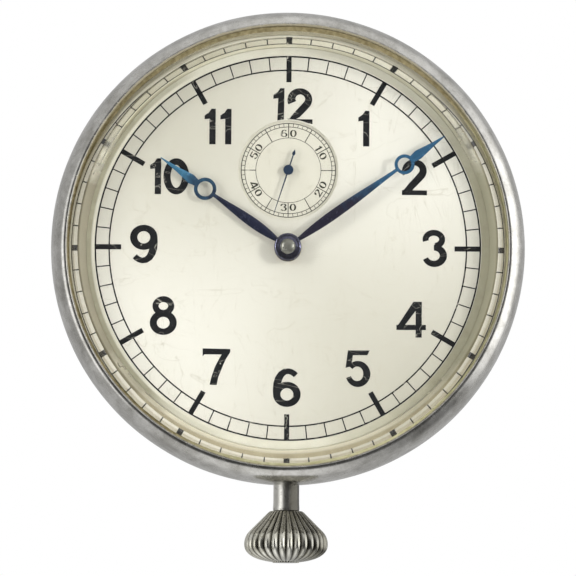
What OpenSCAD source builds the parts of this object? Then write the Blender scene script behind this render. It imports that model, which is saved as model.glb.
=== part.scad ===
// Car dashboard clock: an eight-day clock in a nickel case, wound and set by
// the fluted crown below the dial. Millimetres. The dial faces -Y, +Z is up,
// and the origin lies on the dial's axis in the plane of the case's shoulder.

/* [Case] */
// Width of the bezel, from its lip out to its edge
bezel_w = 3; // [2.8:0.05:3.6]
// Width of the conical seat ring between the dial's edge and the bezel's lip
seat_w = 3.6; // [3.3:0.05:4]
// Thickness of the bezel's lip in front of the glass
lip_t = 0.6; // [0.5:0.05:0.8]
// Depth from the bezel's crest back to the shoulder
front_depth = 16; // [15.9:0.05:16.4]
// Depth of the bezel
bezel_depth = 8; // [7.6:0.1:8.4]
// Wall of the case band and drum
wall = 1.2; // [1.1:0.05:1.25]
// Distance that the drum stands outside the main plate
drum_out = 2.7; // [2.65:0.05:3.2]
// Length of the drum
drum_len = 7.4; // [7:0.1:9]
// Wall of the snap-on back cover
cover_t = 0.8; // [0.6:0.05:1]
// Length of the back cover's skirt
skirt_len = 2.4; // [2:0.1:2.8]
// Step from the drum in to the back cover
cover_step = 0.4; // [0.3:0.05:0.5]

/* [Glass and dial] */
// Thickness of the glass in its middle
glass_t = 3; // [2.8:0.1:3.2]
// Thickness of the glass at its edge
glass_edge_t = 1.2; // [1.1:0.05:1.3]
// Width of the bevel round the glass
bevel_w = 1.8; // [1.6:0.1:2]
// Height of the air space between dial and glass
glass_gap = 4.8; // [4.75:0.05:4.9]
// Thickness of the dial
dial_t = 0.6; // [0.5:0.05:0.65]
// Distance that the dial reaches beyond the main plate
dial_out = 1.6; // [1.4:0.05:1.8]
// Distance of the seconds dial above the middle
seconds_up = 13.2; // [13:0.1:13.3]
// Diameter of the well of the seconds dial
seconds_d = 16.9; // [16.6:0.1:17.2]

/* [Hands] */
// Length of the hour hand
hour_len = 26.3; // [25.5:0.1:27]
// Distance that the minute hand ends short of the dial's edge
minute_short = 1; // [0.8:0.1:2]
// Length of the seconds hand
seconds_len = 7.4; // [7:0.1:7.8]
// Thickness of the hands
hand_t = 0.25; // [0.2:0.05:0.3]
// Angle of the hour hand, clockwise from twelve
hour_turn = 305; // [0:1:359]
// Angle of the minute hand, clockwise from twelve
minute_turn = 54.3; // [0:0.1:359.9]
// Angle of the seconds hand, clockwise from twelve
seconds_turn = 194.3; // [0:0.1:359.9]

/* [Crown] */
// Distance from the bezel's edge down to the crown's flat top
crown_gap = 4.4; // [4:0.1:5.2]
// Radius of the rounding at the crown's widest part
crown_round = 3.1; // [3:0.05:3.2]
// Distance of that rounding from the crown's axis
crown_out = 4; // [3.9:0.05:4.2]
// Number of flutes round the crown
flutes = 32; // [28:1:34]
// Travel of the crown from winding to setting
crown_travel = 1.2; // [1:0.1:1.3]
// Diameter of the winding stem
stem_d = 2.2; // [2.1:0.05:2.3]
// Diameter of the pendant tube at its waist
tube_d = 4.2; // [4:0.1:4.4]

/* [Movement] */
// Width of the main plate's rim outside the barrel's teeth
plate_rim = 0.94; // [0.9:0.02:1.2]
// Thickness of the main plate
plate_t = 2; // [1.9:0.05:2.1]
// Space between the dial and the main plate
motion_gap = 1.8; // [1.8:0.05:1.9]
// Height between the main plate and the bridges
train_gap = 4.8; // [4.75:0.05:4.9]
// Thickness of the train bridge
bridge_t = 1.7; // [1.65:0.05:1.8]
// Thickness of the train wheels
wheel_t = 0.5; // [0.4:0.05:0.55]
// Radius of the balance rim
balance_r = 8.1; // [7.9:0.05:8.2]
// Coils of the hairspring
hair_coils = 8; // [6:1:8]
// Coils of the mainspring
main_coils = 8; // [6:1:8]

/* [Gears] */
// Module of the motion work
motion_m = 0.25; // [0.245:0.001:0.252]
// Module of the centre wheel
centre_m = 0.25; // [0.248:0.001:0.252]
// Module of the third wheel
third_m = 0.22; // [0.218:0.001:0.222]
// Module of the fourth wheel
fourth_m = 0.2; // [0.198:0.001:0.202]
// Module of the intermediate wheel
inter_m = 0.32; // [0.318:0.001:0.322]
// Module of the barrel
barrel_m = 0.3; // [0.299:0.001:0.301]
// Module of the crown wheel and ratchet wheel
ratchet_m = 0.5; // [0.498:0.001:0.501]

/* [Fits] */
// Radial clearance of the running pivots
pivot_fit = 0.03; // [0.02:0.005:0.05]
// Radial clearance of the stem and the wheels on studs
stem_fit = 0.06; // [0.04:0.01:0.08]
// Radial clearance of the back cover on the drum
cover_fit = 0.04; // [0.03:0.01:0.08]
// Gap between two fixed pieces that are laid side by side
seat = 0.05; // [0.03:0.01:0.08]
// Distance that the pallets and the setting teeth are left short
short = 0.12; // [0.1:0.01:0.14]

/* [Hidden] */

// Levels along Y, from the front to the back
crest_y = -front_depth;
lip_y = crest_y + lip_t;
glass_y = lip_y + glass_edge_t;
dial_y = glass_y + glass_gap;
dial_back = dial_y + dial_t;
plate_y = dial_back + motion_gap;
train_y = plate_y + plate_t;
bridge_y = train_y + train_gap;
bridge_back = bridge_y + bridge_t;
stem_y = train_y + 1;
motion_y = plate_y + 0.8;
well_y = dial_back;
hour_y = dial_y - 1;
minute_y = dial_y - 2;

// Tooth counts
centre_n = 64;
third_n = 60;
fourth_n = 60;
inter_n = 48;
barrel_n = 72;
leaf_n = 8;
inter_leaf_n = 9;
escape_leaf_n = 6;
cannon_n = 12;
minute_n = 36;
minute_leaf_n = 10;
hour_n = 40;
transfer_n = 20;
setting_n = 24;
crown_n = 28;
ratchet_n = 36;
face_n = 24;
pinion_n = 12;
escape_n = 15;

// Pitch distances
hour_m = motion_m * (cannon_n + minute_n) / (minute_leaf_n + hour_n);
minute_far = motion_m * (cannon_n + minute_n) / 2;
centre_third = centre_m * (centre_n + leaf_n) / 2;
third_fourth = third_m * (third_n + leaf_n) / 2;
fourth_escape = fourth_m * (fourth_n + escape_leaf_n) / 2;
inter_centre = inter_m * (inter_n + leaf_n) / 2;
barrel_inter = barrel_m * (barrel_n + inter_leaf_n) / 2;
crown_ratchet = ratchet_m * (crown_n + ratchet_n) / 2;

// Positions in the plane of the dial, as [across, up]
function turned_by(a) = [cos(a), sin(a)];
function along(p, q) = atan2(q[1] - p[1], q[0] - p[0]);
function far(p, q) = norm(q - p);
// the point at distances r1 from p and r2 from q, on the left of the way from p to q
function meet(p, q, r1, r2) =
  let (d = far(p, q), s = (r1 * r1 - r2 * r2 + d * d) / (2 * d))
  let (u = (q - p) / d, h = sqrt(r1 * r1 - s * s))
  p + s * u + h * [-u[1], u[0]];

C = [0, 0];
F = [0, seconds_up];
T = meet(C, F, centre_third, third_fourth);
E = F + fourth_escape * turned_by(10);
P = E + 4.6 * turned_by(-32);
B = P + 6.8 * turned_by(-32);
W = [0, -19.8];
A = W + crown_ratchet * turned_by(156.2);
I = meet(A, C, barrel_inter, inter_centre);
M = [0, -minute_far];
S2 = M - [0, motion_m * (minute_n + transfer_n) / 2];
S1 = S2 - [0, motion_m * (transfer_n + setting_n) / 2];

// Radii, from the movement outwards: the plate holds the barrel, the dial covers
// the plate, and the case goes round both
plate_r = norm(A) + barrel_m * (barrel_n / 2 + 0.85) + plate_rim;
bridge_r = plate_r - 0.8;
dial_r = plate_r + dial_out;
lip_r = dial_r + seat_w;
case_r = lip_r + bezel_w;
band_r = case_r - 0.4;
neck_r = band_r - 0.7;
inner_r = band_r - wall - 0.4;
rim_r = inner_r - 0.3;
drum_r = plate_r + drum_out;
seat_r = drum_r - cover_step - cover_t - cover_fit;
minute_len = dial_r - minute_short;
crown_down = case_r + crown_gap;

// Rest angle of a gear's first tooth, so that it meshes with a gear whose
// first tooth is at a1, where the line of centres runs at angle way
function mesh_turn(way, n1, a1, n2) =
  way + 180 - (0.5 - (way - a1) * n1 / 360) * 360 / n2;
a_centre = 0;
a_third_leaf = mesh_turn(along(C, T), centre_n, a_centre, leaf_n);
a_third = 0;
a_fourth_leaf = mesh_turn(along(T, F), third_n, a_third, leaf_n);
a_fourth = 0;
a_escape_leaf = mesh_turn(along(F, E), fourth_n, a_fourth, escape_leaf_n);
a_inter = 0;
a_centre_leaf = mesh_turn(along(I, C), inter_n, a_inter, leaf_n);
a_barrel = 0;
a_inter_leaf = mesh_turn(along(A, I), barrel_n, a_barrel, inter_leaf_n);
a_cannon = 0;
a_minute = mesh_turn(along(C, M), cannon_n, a_cannon, minute_n);
a_minute_leaf = 0;
a_hour = mesh_turn(along(M, C), minute_leaf_n, a_minute_leaf, hour_n);
a_transfer = mesh_turn(along(M, S2), minute_n, a_minute, transfer_n);
a_setting = mesh_turn(along(S2, S1), transfer_n, a_transfer, setting_n);
a_crown = 0;
a_ratchet = mesh_turn(along(W, A), crown_n, a_crown, ratchet_n);

// Winding mesh
pinion_r = 3.5;
face_r = pinion_r * face_n / pinion_n;
pinion_z = W[1] - face_r;
face_y = stem_y + pinion_r;
pinion_w = 1.6;
clutch_z = pinion_z + pinion_w / 2;

// Coils: a flat strip wound from r0 to r1, drawn as one closed outline
function coil(r0, r1, turns, t, per = 24) =
  let (n = turns * per, k = (r1 - r0) / n)
  [for (i = [0:n]) (r0 + k * i + t / 2) * turned_by(360 * i / per),
   for (i = [n:-1:0]) (r0 + k * i - t / 2) * turned_by(360 * i / per)];
hair_r0 = 1.4;
hair_r1 = 6.3;
hair_t = 0.12;
drum_wall_r = barrel_m * barrel_n / 2 - 1.1;
main_r0 = 3;
main_t = 0.25;
main_r1 = drum_wall_r - 0.62 - main_t / 2;
// the least gap is measured between points one turn apart
function least_gap(pts, per = 24) =
  let (n = len(pts) / 2)
  min([for (i = [per:n - 1]) norm(pts[2 * n - 1 - i]) - norm(pts[i - per])]);
echo(hairspring_gap = least_gap(coil(hair_r0, hair_r1, hair_coils, hair_t)));
echo(mainspring_gap = least_gap(coil(main_r0, main_r1, main_coils, main_t)));

// Colours
nickel = [0.70, 0.68, 0.64];
steel = [0.62, 0.63, 0.66];
blued = [0.10, 0.16, 0.34];
brass = [0.78, 0.62, 0.30];
gilt = [0.83, 0.70, 0.42];
silvered = [0.90, 0.89, 0.83];
ruby = [0.70, 0.10, 0.20];
glass = [0.85, 0.92, 0.93, 0.35];
dark = [0.16, 0.14, 0.12];

// A ring or disc turned about the dial's axis, from points [radius, y]
module lathe() {
  rotate([-90, 0, 0]) rotate_extrude($fn = 96) children();
}

// Moves a drawing, which is seen from the front, to p; it grows from y forwards
module at(p, y) {
  translate([p[0], y, p[1]]) rotate([90, 0, 0]) children();
}

// A round pin, disc or bore at p, from y0 back to y1
module disc(p, y0, y1, r) {
  at(p, y1) cylinder(h = y1 - y0, r = r, $fn = 48);
}

// A flat plate of any drawing, from y0 back to y1
module plate(p, y0, y1) {
  at(p, y1) linear_extrude(y1 - y0) children();
}

// A round pin or bore along Z on the stem's axis, from z0 up to z1
module stem_pin(z0, z1, r) {
  translate([0, stem_y, z0]) cylinder(h = z1 - z0, r = r, $fn = 48);
}

// Outline of one gear: n teeth of module m; thick is the share of the pitch
// that a tooth takes, and tip is the width at the tooth's end
function gear_pts(n, m, add, ded, thick, tip) =
  let (r = n * m / 2, h = 180 * thick / n)
  [for (i = [0:n - 1], q = [[r - ded * m, -1.05 * h], [r, -h], [r + add * m, -h * tip],
     [r + add * m, h * tip], [r, h], [r - ded * m, 1.05 * h]])
     q[0] * turned_by(360 * i / n + q[1])];

module toothed(n, m, turn, add = 0.85, ded = 1.15, thick = 0.42, tip = 0.35) {
  rotate(turn) polygon(gear_pts(n, m, add, ded, thick, tip));
}

// Openings between the arms of a wheel
module arms(r_in, r_out, n, w, turn = 0) {
  difference() {
    circle(r = r_out, $fn = 64);
    circle(r = r_in, $fn = 48);
    for (i = [0:n - 1]) rotate(turn + 360 * i / n) translate([0, -w / 2]) square([r_out + 1, w]);
  }
}

// A train wheel with arms
module wheel(p, y0, n, m, turn, hub, arm_n = 5, arm_w = 0.9, t = wheel_t) {
  plate(p, y0, y0 + t) difference() {
    toothed(n, m, turn);
    arms(hub, n * m / 2 - 1.2 * m - 0.7, arm_n, arm_w);
  }
}

// A pinion of few leaves
module leaves(p, y0, y1, n, m, turn) {
  plate(p, y0, y1) toothed(n, m, turn, 0.7, 1.25, 0.36, 0.5);
}

// An arbor with thin pivots at both ends
module arbor(p, y0, y1, r, pivot, reach0, reach1) {
  disc(p, y0, y1, r);
  disc(p, y0 - reach0, y0 + 0.01, pivot);
  disc(p, y1 - 0.01, y1 + reach1, pivot);
}

// A slotted screw with its head towards the back
module screw(p, y_head, head_r, head_h, shank_r, shank_l, turn = 30) {
  difference() {
    disc(p, y_head, y_head + head_h, head_r);
    translate([p[0], y_head + head_h, p[1]]) rotate([0, turn, 0])
      cube([2 * head_r + 1, head_h * 0.9, head_r * 0.32], center = true);
  }
  disc(p, y_head - shank_l, y_head + 0.01, shank_r);
}

// Case and glass

bezel_steps = 22;
function bezel_arc() =
  let (r0 = lip_r + 0.65, y0 = crest_y, a = case_r - r0, b = bezel_depth - 1)
  [for (i = [0:bezel_steps]) [r0 + a * sin(90 * i / bezel_steps),
     y0 + b * (1 - cos(90 * i / bezel_steps))]];

module bezel() {
  color(nickel) lathe() polygon(concat(
    [[lip_r, lip_y], [lip_r, crest_y + 0.3], [lip_r + 0.3, crest_y + 0.03]],
    bezel_arc(),
    [[case_r, crest_y + bezel_depth - 0.2], [case_r - 0.2, crest_y + bezel_depth],
     [neck_r, crest_y + bezel_depth], [neck_r, crest_y + 4],
     [inner_r - 0.25, crest_y + 4], [inner_r - 0.25, lip_y]]));
}

module crystal() {
  bevel_r = lip_r - 0.25;
  color(glass) lathe() polygon([[0, glass_y], [inner_r - 0.3, glass_y], [inner_r - 0.3, lip_y],
    [bevel_r, lip_y], [bevel_r - bevel_w, glass_y - glass_t], [0, glass_y - glass_t]]);
}

module glass_gasket() {
  color(dark) lathe() polygon([[lip_r + 0.05, glass_y], [inner_r - 0.3, glass_y],
    [inner_r - 0.3, glass_y + 0.3], [lip_r + 0.05, glass_y + 0.3]]);
}

module dial_surround() {
  top = glass_y + 0.3;
  color(nickel) lathe() polygon([[dial_r - 0.5, dial_y], [lip_r - 0.1, top],
    [inner_r - 0.3, top], [inner_r - 0.3, top + 0.9], [dial_r + 0.9, dial_y]]);
}

module case_band() {
  color(nickel) difference() {
    lathe() polygon([[inner_r, crest_y + 4.1], [neck_r - 0.02, crest_y + 4.1],
      [neck_r - 0.02, crest_y + bezel_depth], [band_r, crest_y + bezel_depth],
      [band_r, -0.5], [band_r - 0.5, 0], [drum_r, 0], [drum_r, drum_len - skirt_len],
      [seat_r, drum_len - skirt_len], [seat_r, drum_len], [seat_r - 1, drum_len],
      [seat_r - 1, -wall], [inner_r, -wall]]);
    stem_pin(-band_r - 1, -inner_r + 1, tube_d / 2 + 0.02);
    for (a = screw_turns) radial(a) {
      cylinder(h = band_r + 1, r = screw_r + seat, $fn = 32);
      translate([0, 0, band_r - screw_h]) cylinder(h = screw_h + 1, r = head_r + seat, $fn = 48);
    }
  }
}

// The pendant tube flares a little at its ends
module pendant_tube() {
  z0 = -crown_down + 0.35;
  z1 = -inner_r;
  r = tube_d / 2;
  color(nickel) translate([0, stem_y, 0]) rotate_extrude($fn = 64) polygon([
    [stem_d / 2 + stem_fit, z0], [r + 0.14, z0], [r + 0.1, z0 + 0.9], [r, z0 + 2],
    [r, z1], [stem_d / 2 + stem_fit, z1]]);
}

module movement_ring() {
  color(brass) difference() {
    lathe() polygon([[plate_r + seat, dial_back], [rim_r + 0.25, dial_back],
      [rim_r + 0.25, -wall - seat], [plate_r - 0.6, -wall - seat], [plate_r - 0.6, train_y],
      [plate_r + seat, train_y]]);
    stem_pin(-rim_r - 2, -plate_r + 3, stem_d / 2 + 0.4);
    for (a = screw_turns) radial(a) translate([0, 0, screw_end - 0.3])
      cylinder(h = 9, r = screw_r + seat, $fn = 32);
  }
}

// Three screws through the side of the case band hold the movement ring
screw_turns = [60, 180, 300];
screw_r = 0.6;
head_r = 1.2;
screw_h = 0.8;
screw_end = inner_r - 3;
module radial(a) {
  translate([0, crest_y + bezel_depth / 2 + front_depth / 2, 0]) rotate([0, -a, 0])
    rotate([0, 90, 0]) children();
}

module case_screws() {
  color(steel) for (a = screw_turns) radial(a) difference() {
    union() {
      translate([0, 0, screw_end]) cylinder(h = band_r - 0.4 - screw_end, r = screw_r, $fn = 32);
      translate([0, 0, band_r - screw_h]) cylinder(h = screw_h - 0.1, r = head_r, $fn = 48);
    }
    translate([-0.2, -2, band_r - 0.5]) cube([0.4, 4, 2]);
  }
}

// Dial

module dial() {
  color(silvered) plate(C, dial_y, dial_back) difference() {
    circle(r = dial_r, $fn = 96);
    translate(F) circle(r = seconds_d / 2, $fn = 96);
    circle(r = 2.3, $fn = 48);
  }
}

feet = [[24, 9], [-24, 9], [14, -22]];
module dial_feet() {
  color(brass) for (p = feet) disc(p, dial_back, train_y - 0.6, 0.6);
}

module seconds_dial() {
  color(silvered) plate(F, well_y, well_y + 0.3) difference() {
    circle(r = seconds_d / 2 + 0.7, $fn = 96);
    circle(r = 0.55, $fn = 32);
  }
}

// Plates and bridges

module main_plate() {
  color(gilt) difference() {
    disc(C, plate_y, train_y, plate_r);
    for (q = [[C, 0.86 + stem_fit], [I, 0.25 + pivot_fit], [T, 0.8], [F, 0.34 + pivot_fit],
              [E, 0.8], [P, 0.8], [B, 0.8], [A, 1 + pivot_fit]])
      disc(q[0], plate_y - 1, train_y + 1, q[1]);
    for (p = feet) disc(p, plate_y - 1, train_y + 1, 0.6 + seat);
    for (q = [[C, 2.4], [M, 5.1], [S2, 3.1], [S1, 3.6]])
      disc(q[0], plate_y - 1, motion_y + 0.3, q[1]);
    for (q = [M, S2, S1]) disc(q, motion_y, train_y + 1, 0.8 + seat);
    for (p = [lever_at, yoke_at]) disc(p, plate_y - 1, train_y + 1, post_r + seat);
    for (s = [-1, 1]) disc(banking_at(s), train_y - 0.8 - seat, train_y + 1, 0.22 + seat);
    stem_pin(-plate_r - 1, -plate_r + 5, stem_d / 2 + 0.2);
    slot(plate_y - 1, train_y + 1);
  }
}

// The opening for the winding pinion and the clutch
module slot(y0, y1) {
  plate([0, 0], y0, y1) {
    translate([-2.7, -29.8]) square([5.4, 8.6]);
    translate([-pinion_r - 0.8, pinion_z - 1.3]) square([2 * pinion_r + 1.6, 2.6]);
  }
}

post_r = 0.6;
module wheel_posts() {
  color(steel) {
    for (q = [[M, 1.6], [S2, 0.3], [S1, 0.3]]) {
      disc(q[0], motion_y - 0.6 - q[1], motion_y + 0.3, post_r);
      disc(q[0], motion_y + 0.3, train_y, 0.8);
    }
    for (p = [lever_at, yoke_at]) {
      disc(p, plate_y - 0.75, train_y, post_r);
      disc(p, plate_y - 1.05, plate_y - 0.7, 1.1);
    }
  }
}

module stem_block() {
  color(gilt) difference() {
    plate([0, 0], train_y, bridge_y - 1.4) translate([-3.5, -plate_r + 0.8]) square([7, 1.1]);
    stem_pin(-plate_r, -plate_r + 5, stem_d / 2 + stem_fit);
  }
}

// The edge between barrel bridge and train bridge runs aslant below the middle
function split(x) = -2.6 - 0.365 * x;
under = bridge_y - 1.4;
pocket_y = bridge_y + 0.4;
ratchet_y = pocket_y + 0.3;

module barrel_bridge() {
  color(gilt) difference() {
    plate([0, 0], under, bridge_back) difference() {
      intersection() {
        circle(r = bridge_r, $fn = 96);
        polygon([[-40, split(-40) - 0.2], [9, split(9) - 0.2], [16, -13], [16, -40], [-40, -40]]);
      }
      translate([12, -26]) circle(r = 2.2, $fn = 32);
    }
    disc(A, pocket_y, bridge_back + 1, ratchet_n * ratchet_m / 2 + 0.75);
    disc(W, pocket_y, bridge_back + 1, face_r + 1);
    difference() {
      disc(W, under + 0.6, pocket_y + 1, face_r + 1);
      disc(W, under, face_y + 0.25, face_r - 1);
    }
    disc(I, under - 1, bridge_y - 0.3, inter_m * (inter_n / 2 + 1) + 0.4);
    disc(I, under - 1, bridge_back + 1, 0.25 + pivot_fit);
    disc(A, under - 1, bridge_back + 1, 1.6 + pivot_fit);
    plate([0, 0], under - 1, pocket_y + 0.1)
      translate([-pinion_r - 0.8, pinion_z - 1.3]) square([2 * pinion_r + 1.6, 2.6]);
    for (p = barrel_screws) disc(p, under - 1, bridge_back + 1, 0.7);
    for (p = [click_at, spring_foot]) disc(p, bridge_back - 1.2, bridge_back + 1, post_r + 0.02);
  }
  color(gilt) for (p = barrel_screws) pillar(p, under);
}

// A foot that carries a bridge on the main plate
module pillar(p, y1, r = 1.5) {
  disc(p, train_y, y1 + 0.01, r);
}

barrel_screws = [[-29, -3.2], [13, -15.5], [5.2, -29]];
train_screws = [[-25, 14], [-12, 26.2], [4.8, 27.6]];
module train_bridge() {
  color(gilt) difference() {
    plate([0, 0], bridge_y, bridge_back) difference() {
      intersection() {
        circle(r = bridge_r, $fn = 96);
        polygon([[-40, split(-40) + 0.2], [7.5, split(7.5) + 0.2], [7.5, 5], [9, 20], [9, 40],
          [-40, 40]]);
      }
      translate(B) circle(r = balance_r + 1.3, $fn = 96);
    }
    for (q = [[C, 0.3], [T, 0.7], [F, 0.7], [E, 0.7]])
      disc(q[0], bridge_y - 1, bridge_back + 1, q[1] + (q[1] < 0.5 ? pivot_fit : 0));
    for (p = train_screws) disc(p, bridge_y - 1, bridge_back + 1, 0.7);
  }
  color(gilt) for (p = train_screws) pillar(p, bridge_y);
}

fork_y = train_y + 1.3;
fork_t = 0.4;
pallet_y = train_y + 2.1;
pallet_foot = P + 11 * turned_by(58);
module pallet_bridge() {
  color(gilt) difference() {
    union() {
      plate([0, 0], pallet_y, pallet_y + 0.7) link(P, pallet_foot, 1.5, 2.2);
      pillar(pallet_foot, pallet_y, 2);
    }
    disc(P, pallet_y - 1, pallet_y + 2, 0.7);
    disc(pallet_foot, pallet_y - 0.01, pallet_y + 2, 0.7);
  }
}

// A bar from p to q with round ends
module link(p, q, rp, rq) {
  w = along(p, q);
  translate(p) circle(r = rp, $fn = 48);
  translate(q) circle(r = rq, $fn = 48);
  polygon([p + 0.97 * rp * turned_by(w + 90), p + 0.97 * rp * turned_by(w - 90),
    q + 0.97 * rq * turned_by(w - 90), q + 0.97 * rq * turned_by(w + 90)]);
}

cock_y = bridge_y + 0.5;
cock_t = 1.7;
cock_foot = B + 12 * turned_by(-35);
module balance_cock() {
  color(gilt) difference() {
    union() {
      plate([0, 0], cock_y, cock_y + cock_t) link(B, cock_foot, 2.4, 2.5);
      pillar(cock_foot, cock_y, 2.3);
    }
    disc(B, cock_y - 1, cock_y + cock_t + 1, 0.7);
    disc(cock_foot, cock_y - 0.01, cock_y + cock_t + 1, 0.7);
    disc(hair_end, cock_y - 1, cock_y + cock_t + 1, 0.4);
  }
}

module bridge_screws() {
  color(blued) {
    for (p = barrel_screws) screw(p, bridge_back, 1.3, 0.6, 0.65, 2);
    for (p = train_screws) screw(p, bridge_back, 1.3, 0.6, 0.65, 1.5, 75);
    screw(pallet_foot, pallet_y + 0.7, 1.1, 0.5, 0.65, 0.65, 10);
    screw(cock_foot, cock_y + cock_t, 1.4, 0.6, 0.65, 1.6, 120);
    screw(click_at, bridge_back + 0.4, 1, 0.4, post_r - 0.01, 1.4, 20);
    screw(spring_foot, bridge_back + 0.35, 1, 0.4, 0.49, 1.3, 50);
  }
}

// Ring jewels pressed into the plate and the bridges
module jewel(p, y0, y1, r, bore) {
  difference() {
    disc(p, y0, y1, r);
    disc(p, y0 - 1, y1 + 1, bore + pivot_fit);
  }
}

fine = 0.14;
module jewels() {
  color(ruby) {
    for (p = [T, E, P, B]) jewel(p, train_y - 1, train_y, 0.8, p == T ? 0.2 : fine);
    for (p = [T, F, E]) jewel(p, bridge_y, bridge_y + 1, 0.7, p == E ? fine : 0.2);
    jewel(P, pallet_y, pallet_y + 0.7, 0.7, fine);
    jewel(B, cock_y, cock_y + 1, 0.7, fine);
  }
}

function banking_at(s) = P + 3.6 * turned_by(along(P, B)) + s * 0.95 * turned_by(along(P, B) + 90);
module banking_pins() {
  color(steel) for (s = [-1, 1]) disc(banking_at(s), train_y - 0.8, fork_y + fork_t, 0.22);
}

// The regulator turns with friction round the cock's jewel
module regulator() {
  y = cock_y + cock_t;
  color(steel) plate(B, y, y + 0.35) difference() {
    union() {
      circle(r = 1.6, $fn = 48);
      rotate(150) polygon([[0, -0.5], [7.2, -0.12], [7.2, 0.12], [0, 0.5]]);
    }
    circle(r = 0.75, $fn = 32);
  }
}

hair_y = bridge_y - 0.4;
hair_way = -35;
hair_end = B + (hair_r1 + hair_t / 2 + 0.4) * turned_by(hair_way);
module hair_stud() {
  color(steel) disc(hair_end, hair_y, cock_y + cock_t, 0.38);
}

module hairspring() {
  color(blued) plate(B, hair_y, hair_y + 0.35)
    rotate(hair_way - 360 * hair_coils) polygon(coil(hair_r0, hair_r1, hair_coils, hair_t));
}

// Winding work on the back

ratchet_out = ratchet_m * (ratchet_n / 2 + 0.85);
click_far = ratchet_out + 3.1;
click_at = A + click_far * turned_by(105);
module click() {
  tip = A + (ratchet_out + short + 0.25) * turned_by(78);
  color(steel) plate([0, 0], bridge_back, bridge_back + 0.4) difference() {
    link(click_at, tip, 1.3, 0.25);
    translate(click_at) circle(r = post_r, $fn = 32);
  }
}

// A bent wire presses the click; its foot is screwed to the bridge
spring_foot = A + (click_far - 0.9) * turned_by(146);
module click_spring() {
  r = click_far - 0.9;
  color(steel) plate([0, 0], bridge_back, bridge_back + 0.35) difference() {
    union() {
      translate(A) intersection() {
        difference() {
          circle(r = r + 0.15, $fn = 96);
          circle(r = r - 0.15, $fn = 96);
        }
        polygon([[0, 0], 20 * turned_by(112), 20 * turned_by(128), 20 * turned_by(146)]);
      }
      translate(spring_foot) circle(r = 1.1, $fn = 48);
    }
    translate(spring_foot) circle(r = 0.5, $fn = 32);
  }
}

module crown_wheel_core() {
  y = bridge_back + 0.45;
  color(steel) {
    disc(W, face_y + 0.25, y, 2.2);
    screw(W, y, 3, 0.45, 0.5, 0.1, 60);
  }
}

// Back cover

module back_cover() {
  r_in = seat_r + cover_fit;
  r_out = r_in + cover_t;
  y0 = drum_len - skirt_len + seat;
  y1 = drum_len + seat + cover_t;
  color(nickel) difference() {
    lathe() polygon([[0, drum_len + seat], [r_in, drum_len + seat], [r_in, y0], [r_out, y0],
      [r_out, y1 - 0.6], [r_out - 0.5, y1 - 0.1], [r_out - 3, y1], [r_out - 3.6, y1 - 0.25],
      [0, y1 - 0.25]]);
    // the notch where a knife lifts the cover
    translate([0, y0 - 1, 0]) rotate([0, 60, 0]) translate([-3.5, 0, r_in - 2])
      cube([7, 1.7, 6]);
  }
}

// Winding and setting work

module pinion_teeth() {
  toothed(pinion_n, 2 * pinion_r / pinion_n, 0, 0.5, 0.65, 0.4, 0.5);
}

// Eight coupling teeth between the winding pinion and the clutch
module dogs(r0, r1, turn) {
  for (i = [0:7]) rotate(turn + 45 * i) difference() {
    intersection() {
      circle(r = r1, $fn = 48);
      polygon([[0, 0], [4 * cos(9), 4 * sin(9)], [4 * cos(9), -4 * sin(9)]]);
    }
    circle(r = r0, $fn = 48);
  }
}

dog_h = 0.5;
inner_stem = stem_d / 2 - 0.15;
square_w = 1.4;
module winding_pinion() {
  color(steel) difference() {
    translate([0, stem_y, pinion_z - pinion_w / 2]) {
      linear_extrude(pinion_w) pinion_teeth();
      translate([0, 0, pinion_w]) linear_extrude(dog_h) dogs(1.3, 2.1, 0);
    }
    stem_pin(pinion_z - 3, pinion_z + 3, inner_stem + stem_fit);
  }
}

clutch_r = 2.3;
clutch_top = S1[1] - motion_m * (setting_n / 2 + 0.85) - short - crown_travel;
clutch_mid = clutch_z + dog_h + 0.95;
module sliding_clutch() {
  z0 = clutch_z + dog_h + seat;
  color(steel) difference() {
    union() {
      stem_pin(z0, clutch_mid - 0.4, 2.1);
      stem_pin(z0, clutch_top - 0.45, 1.35);
      stem_pin(clutch_mid + 0.4, clutch_top - 0.45, clutch_r);
      translate([0, stem_y, clutch_z + seat]) linear_extrude(dog_h) dogs(1.3, 2.1, 22.5);
      translate([0, stem_y, clutch_top - 0.45]) linear_extrude(0.45) dogs(1.4, clutch_r, 0);
    }
    translate([0, stem_y, z0 - 1]) linear_extrude(8)
      square(square_w + 2 * stem_fit, center = true);
  }
}

groove_z = pinion_z - pinion_w / 2 - 0.55;
module winding_stem() {
  color(steel) {
    stem_pin(-crown_down - 1, groove_z - 0.45, stem_d / 2);
    stem_pin(groove_z - 0.5, groove_z + 0.45, 0.55);
    stem_pin(groove_z + 0.4, clutch_z + 0.25, inner_stem);
    translate([0, stem_y, clutch_z + 0.2]) linear_extrude(clutch_top + 2.6 - clutch_z)
      square(square_w, center = true);
  }
}

// The fluted crown

// Turned body: flat top, straight cone, a rounding and a flat bottom
crown_top_r = 2.8;
crown_mid = -crown_down - (crown_out + crown_round * sqrt(2) - crown_top_r);
function crown_arc(n) = [for (i = [0:n]) let (a = 45 - 135 * i / n)
  [crown_out + crown_round * cos(a), crown_mid + crown_round * sin(a)]];

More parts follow.
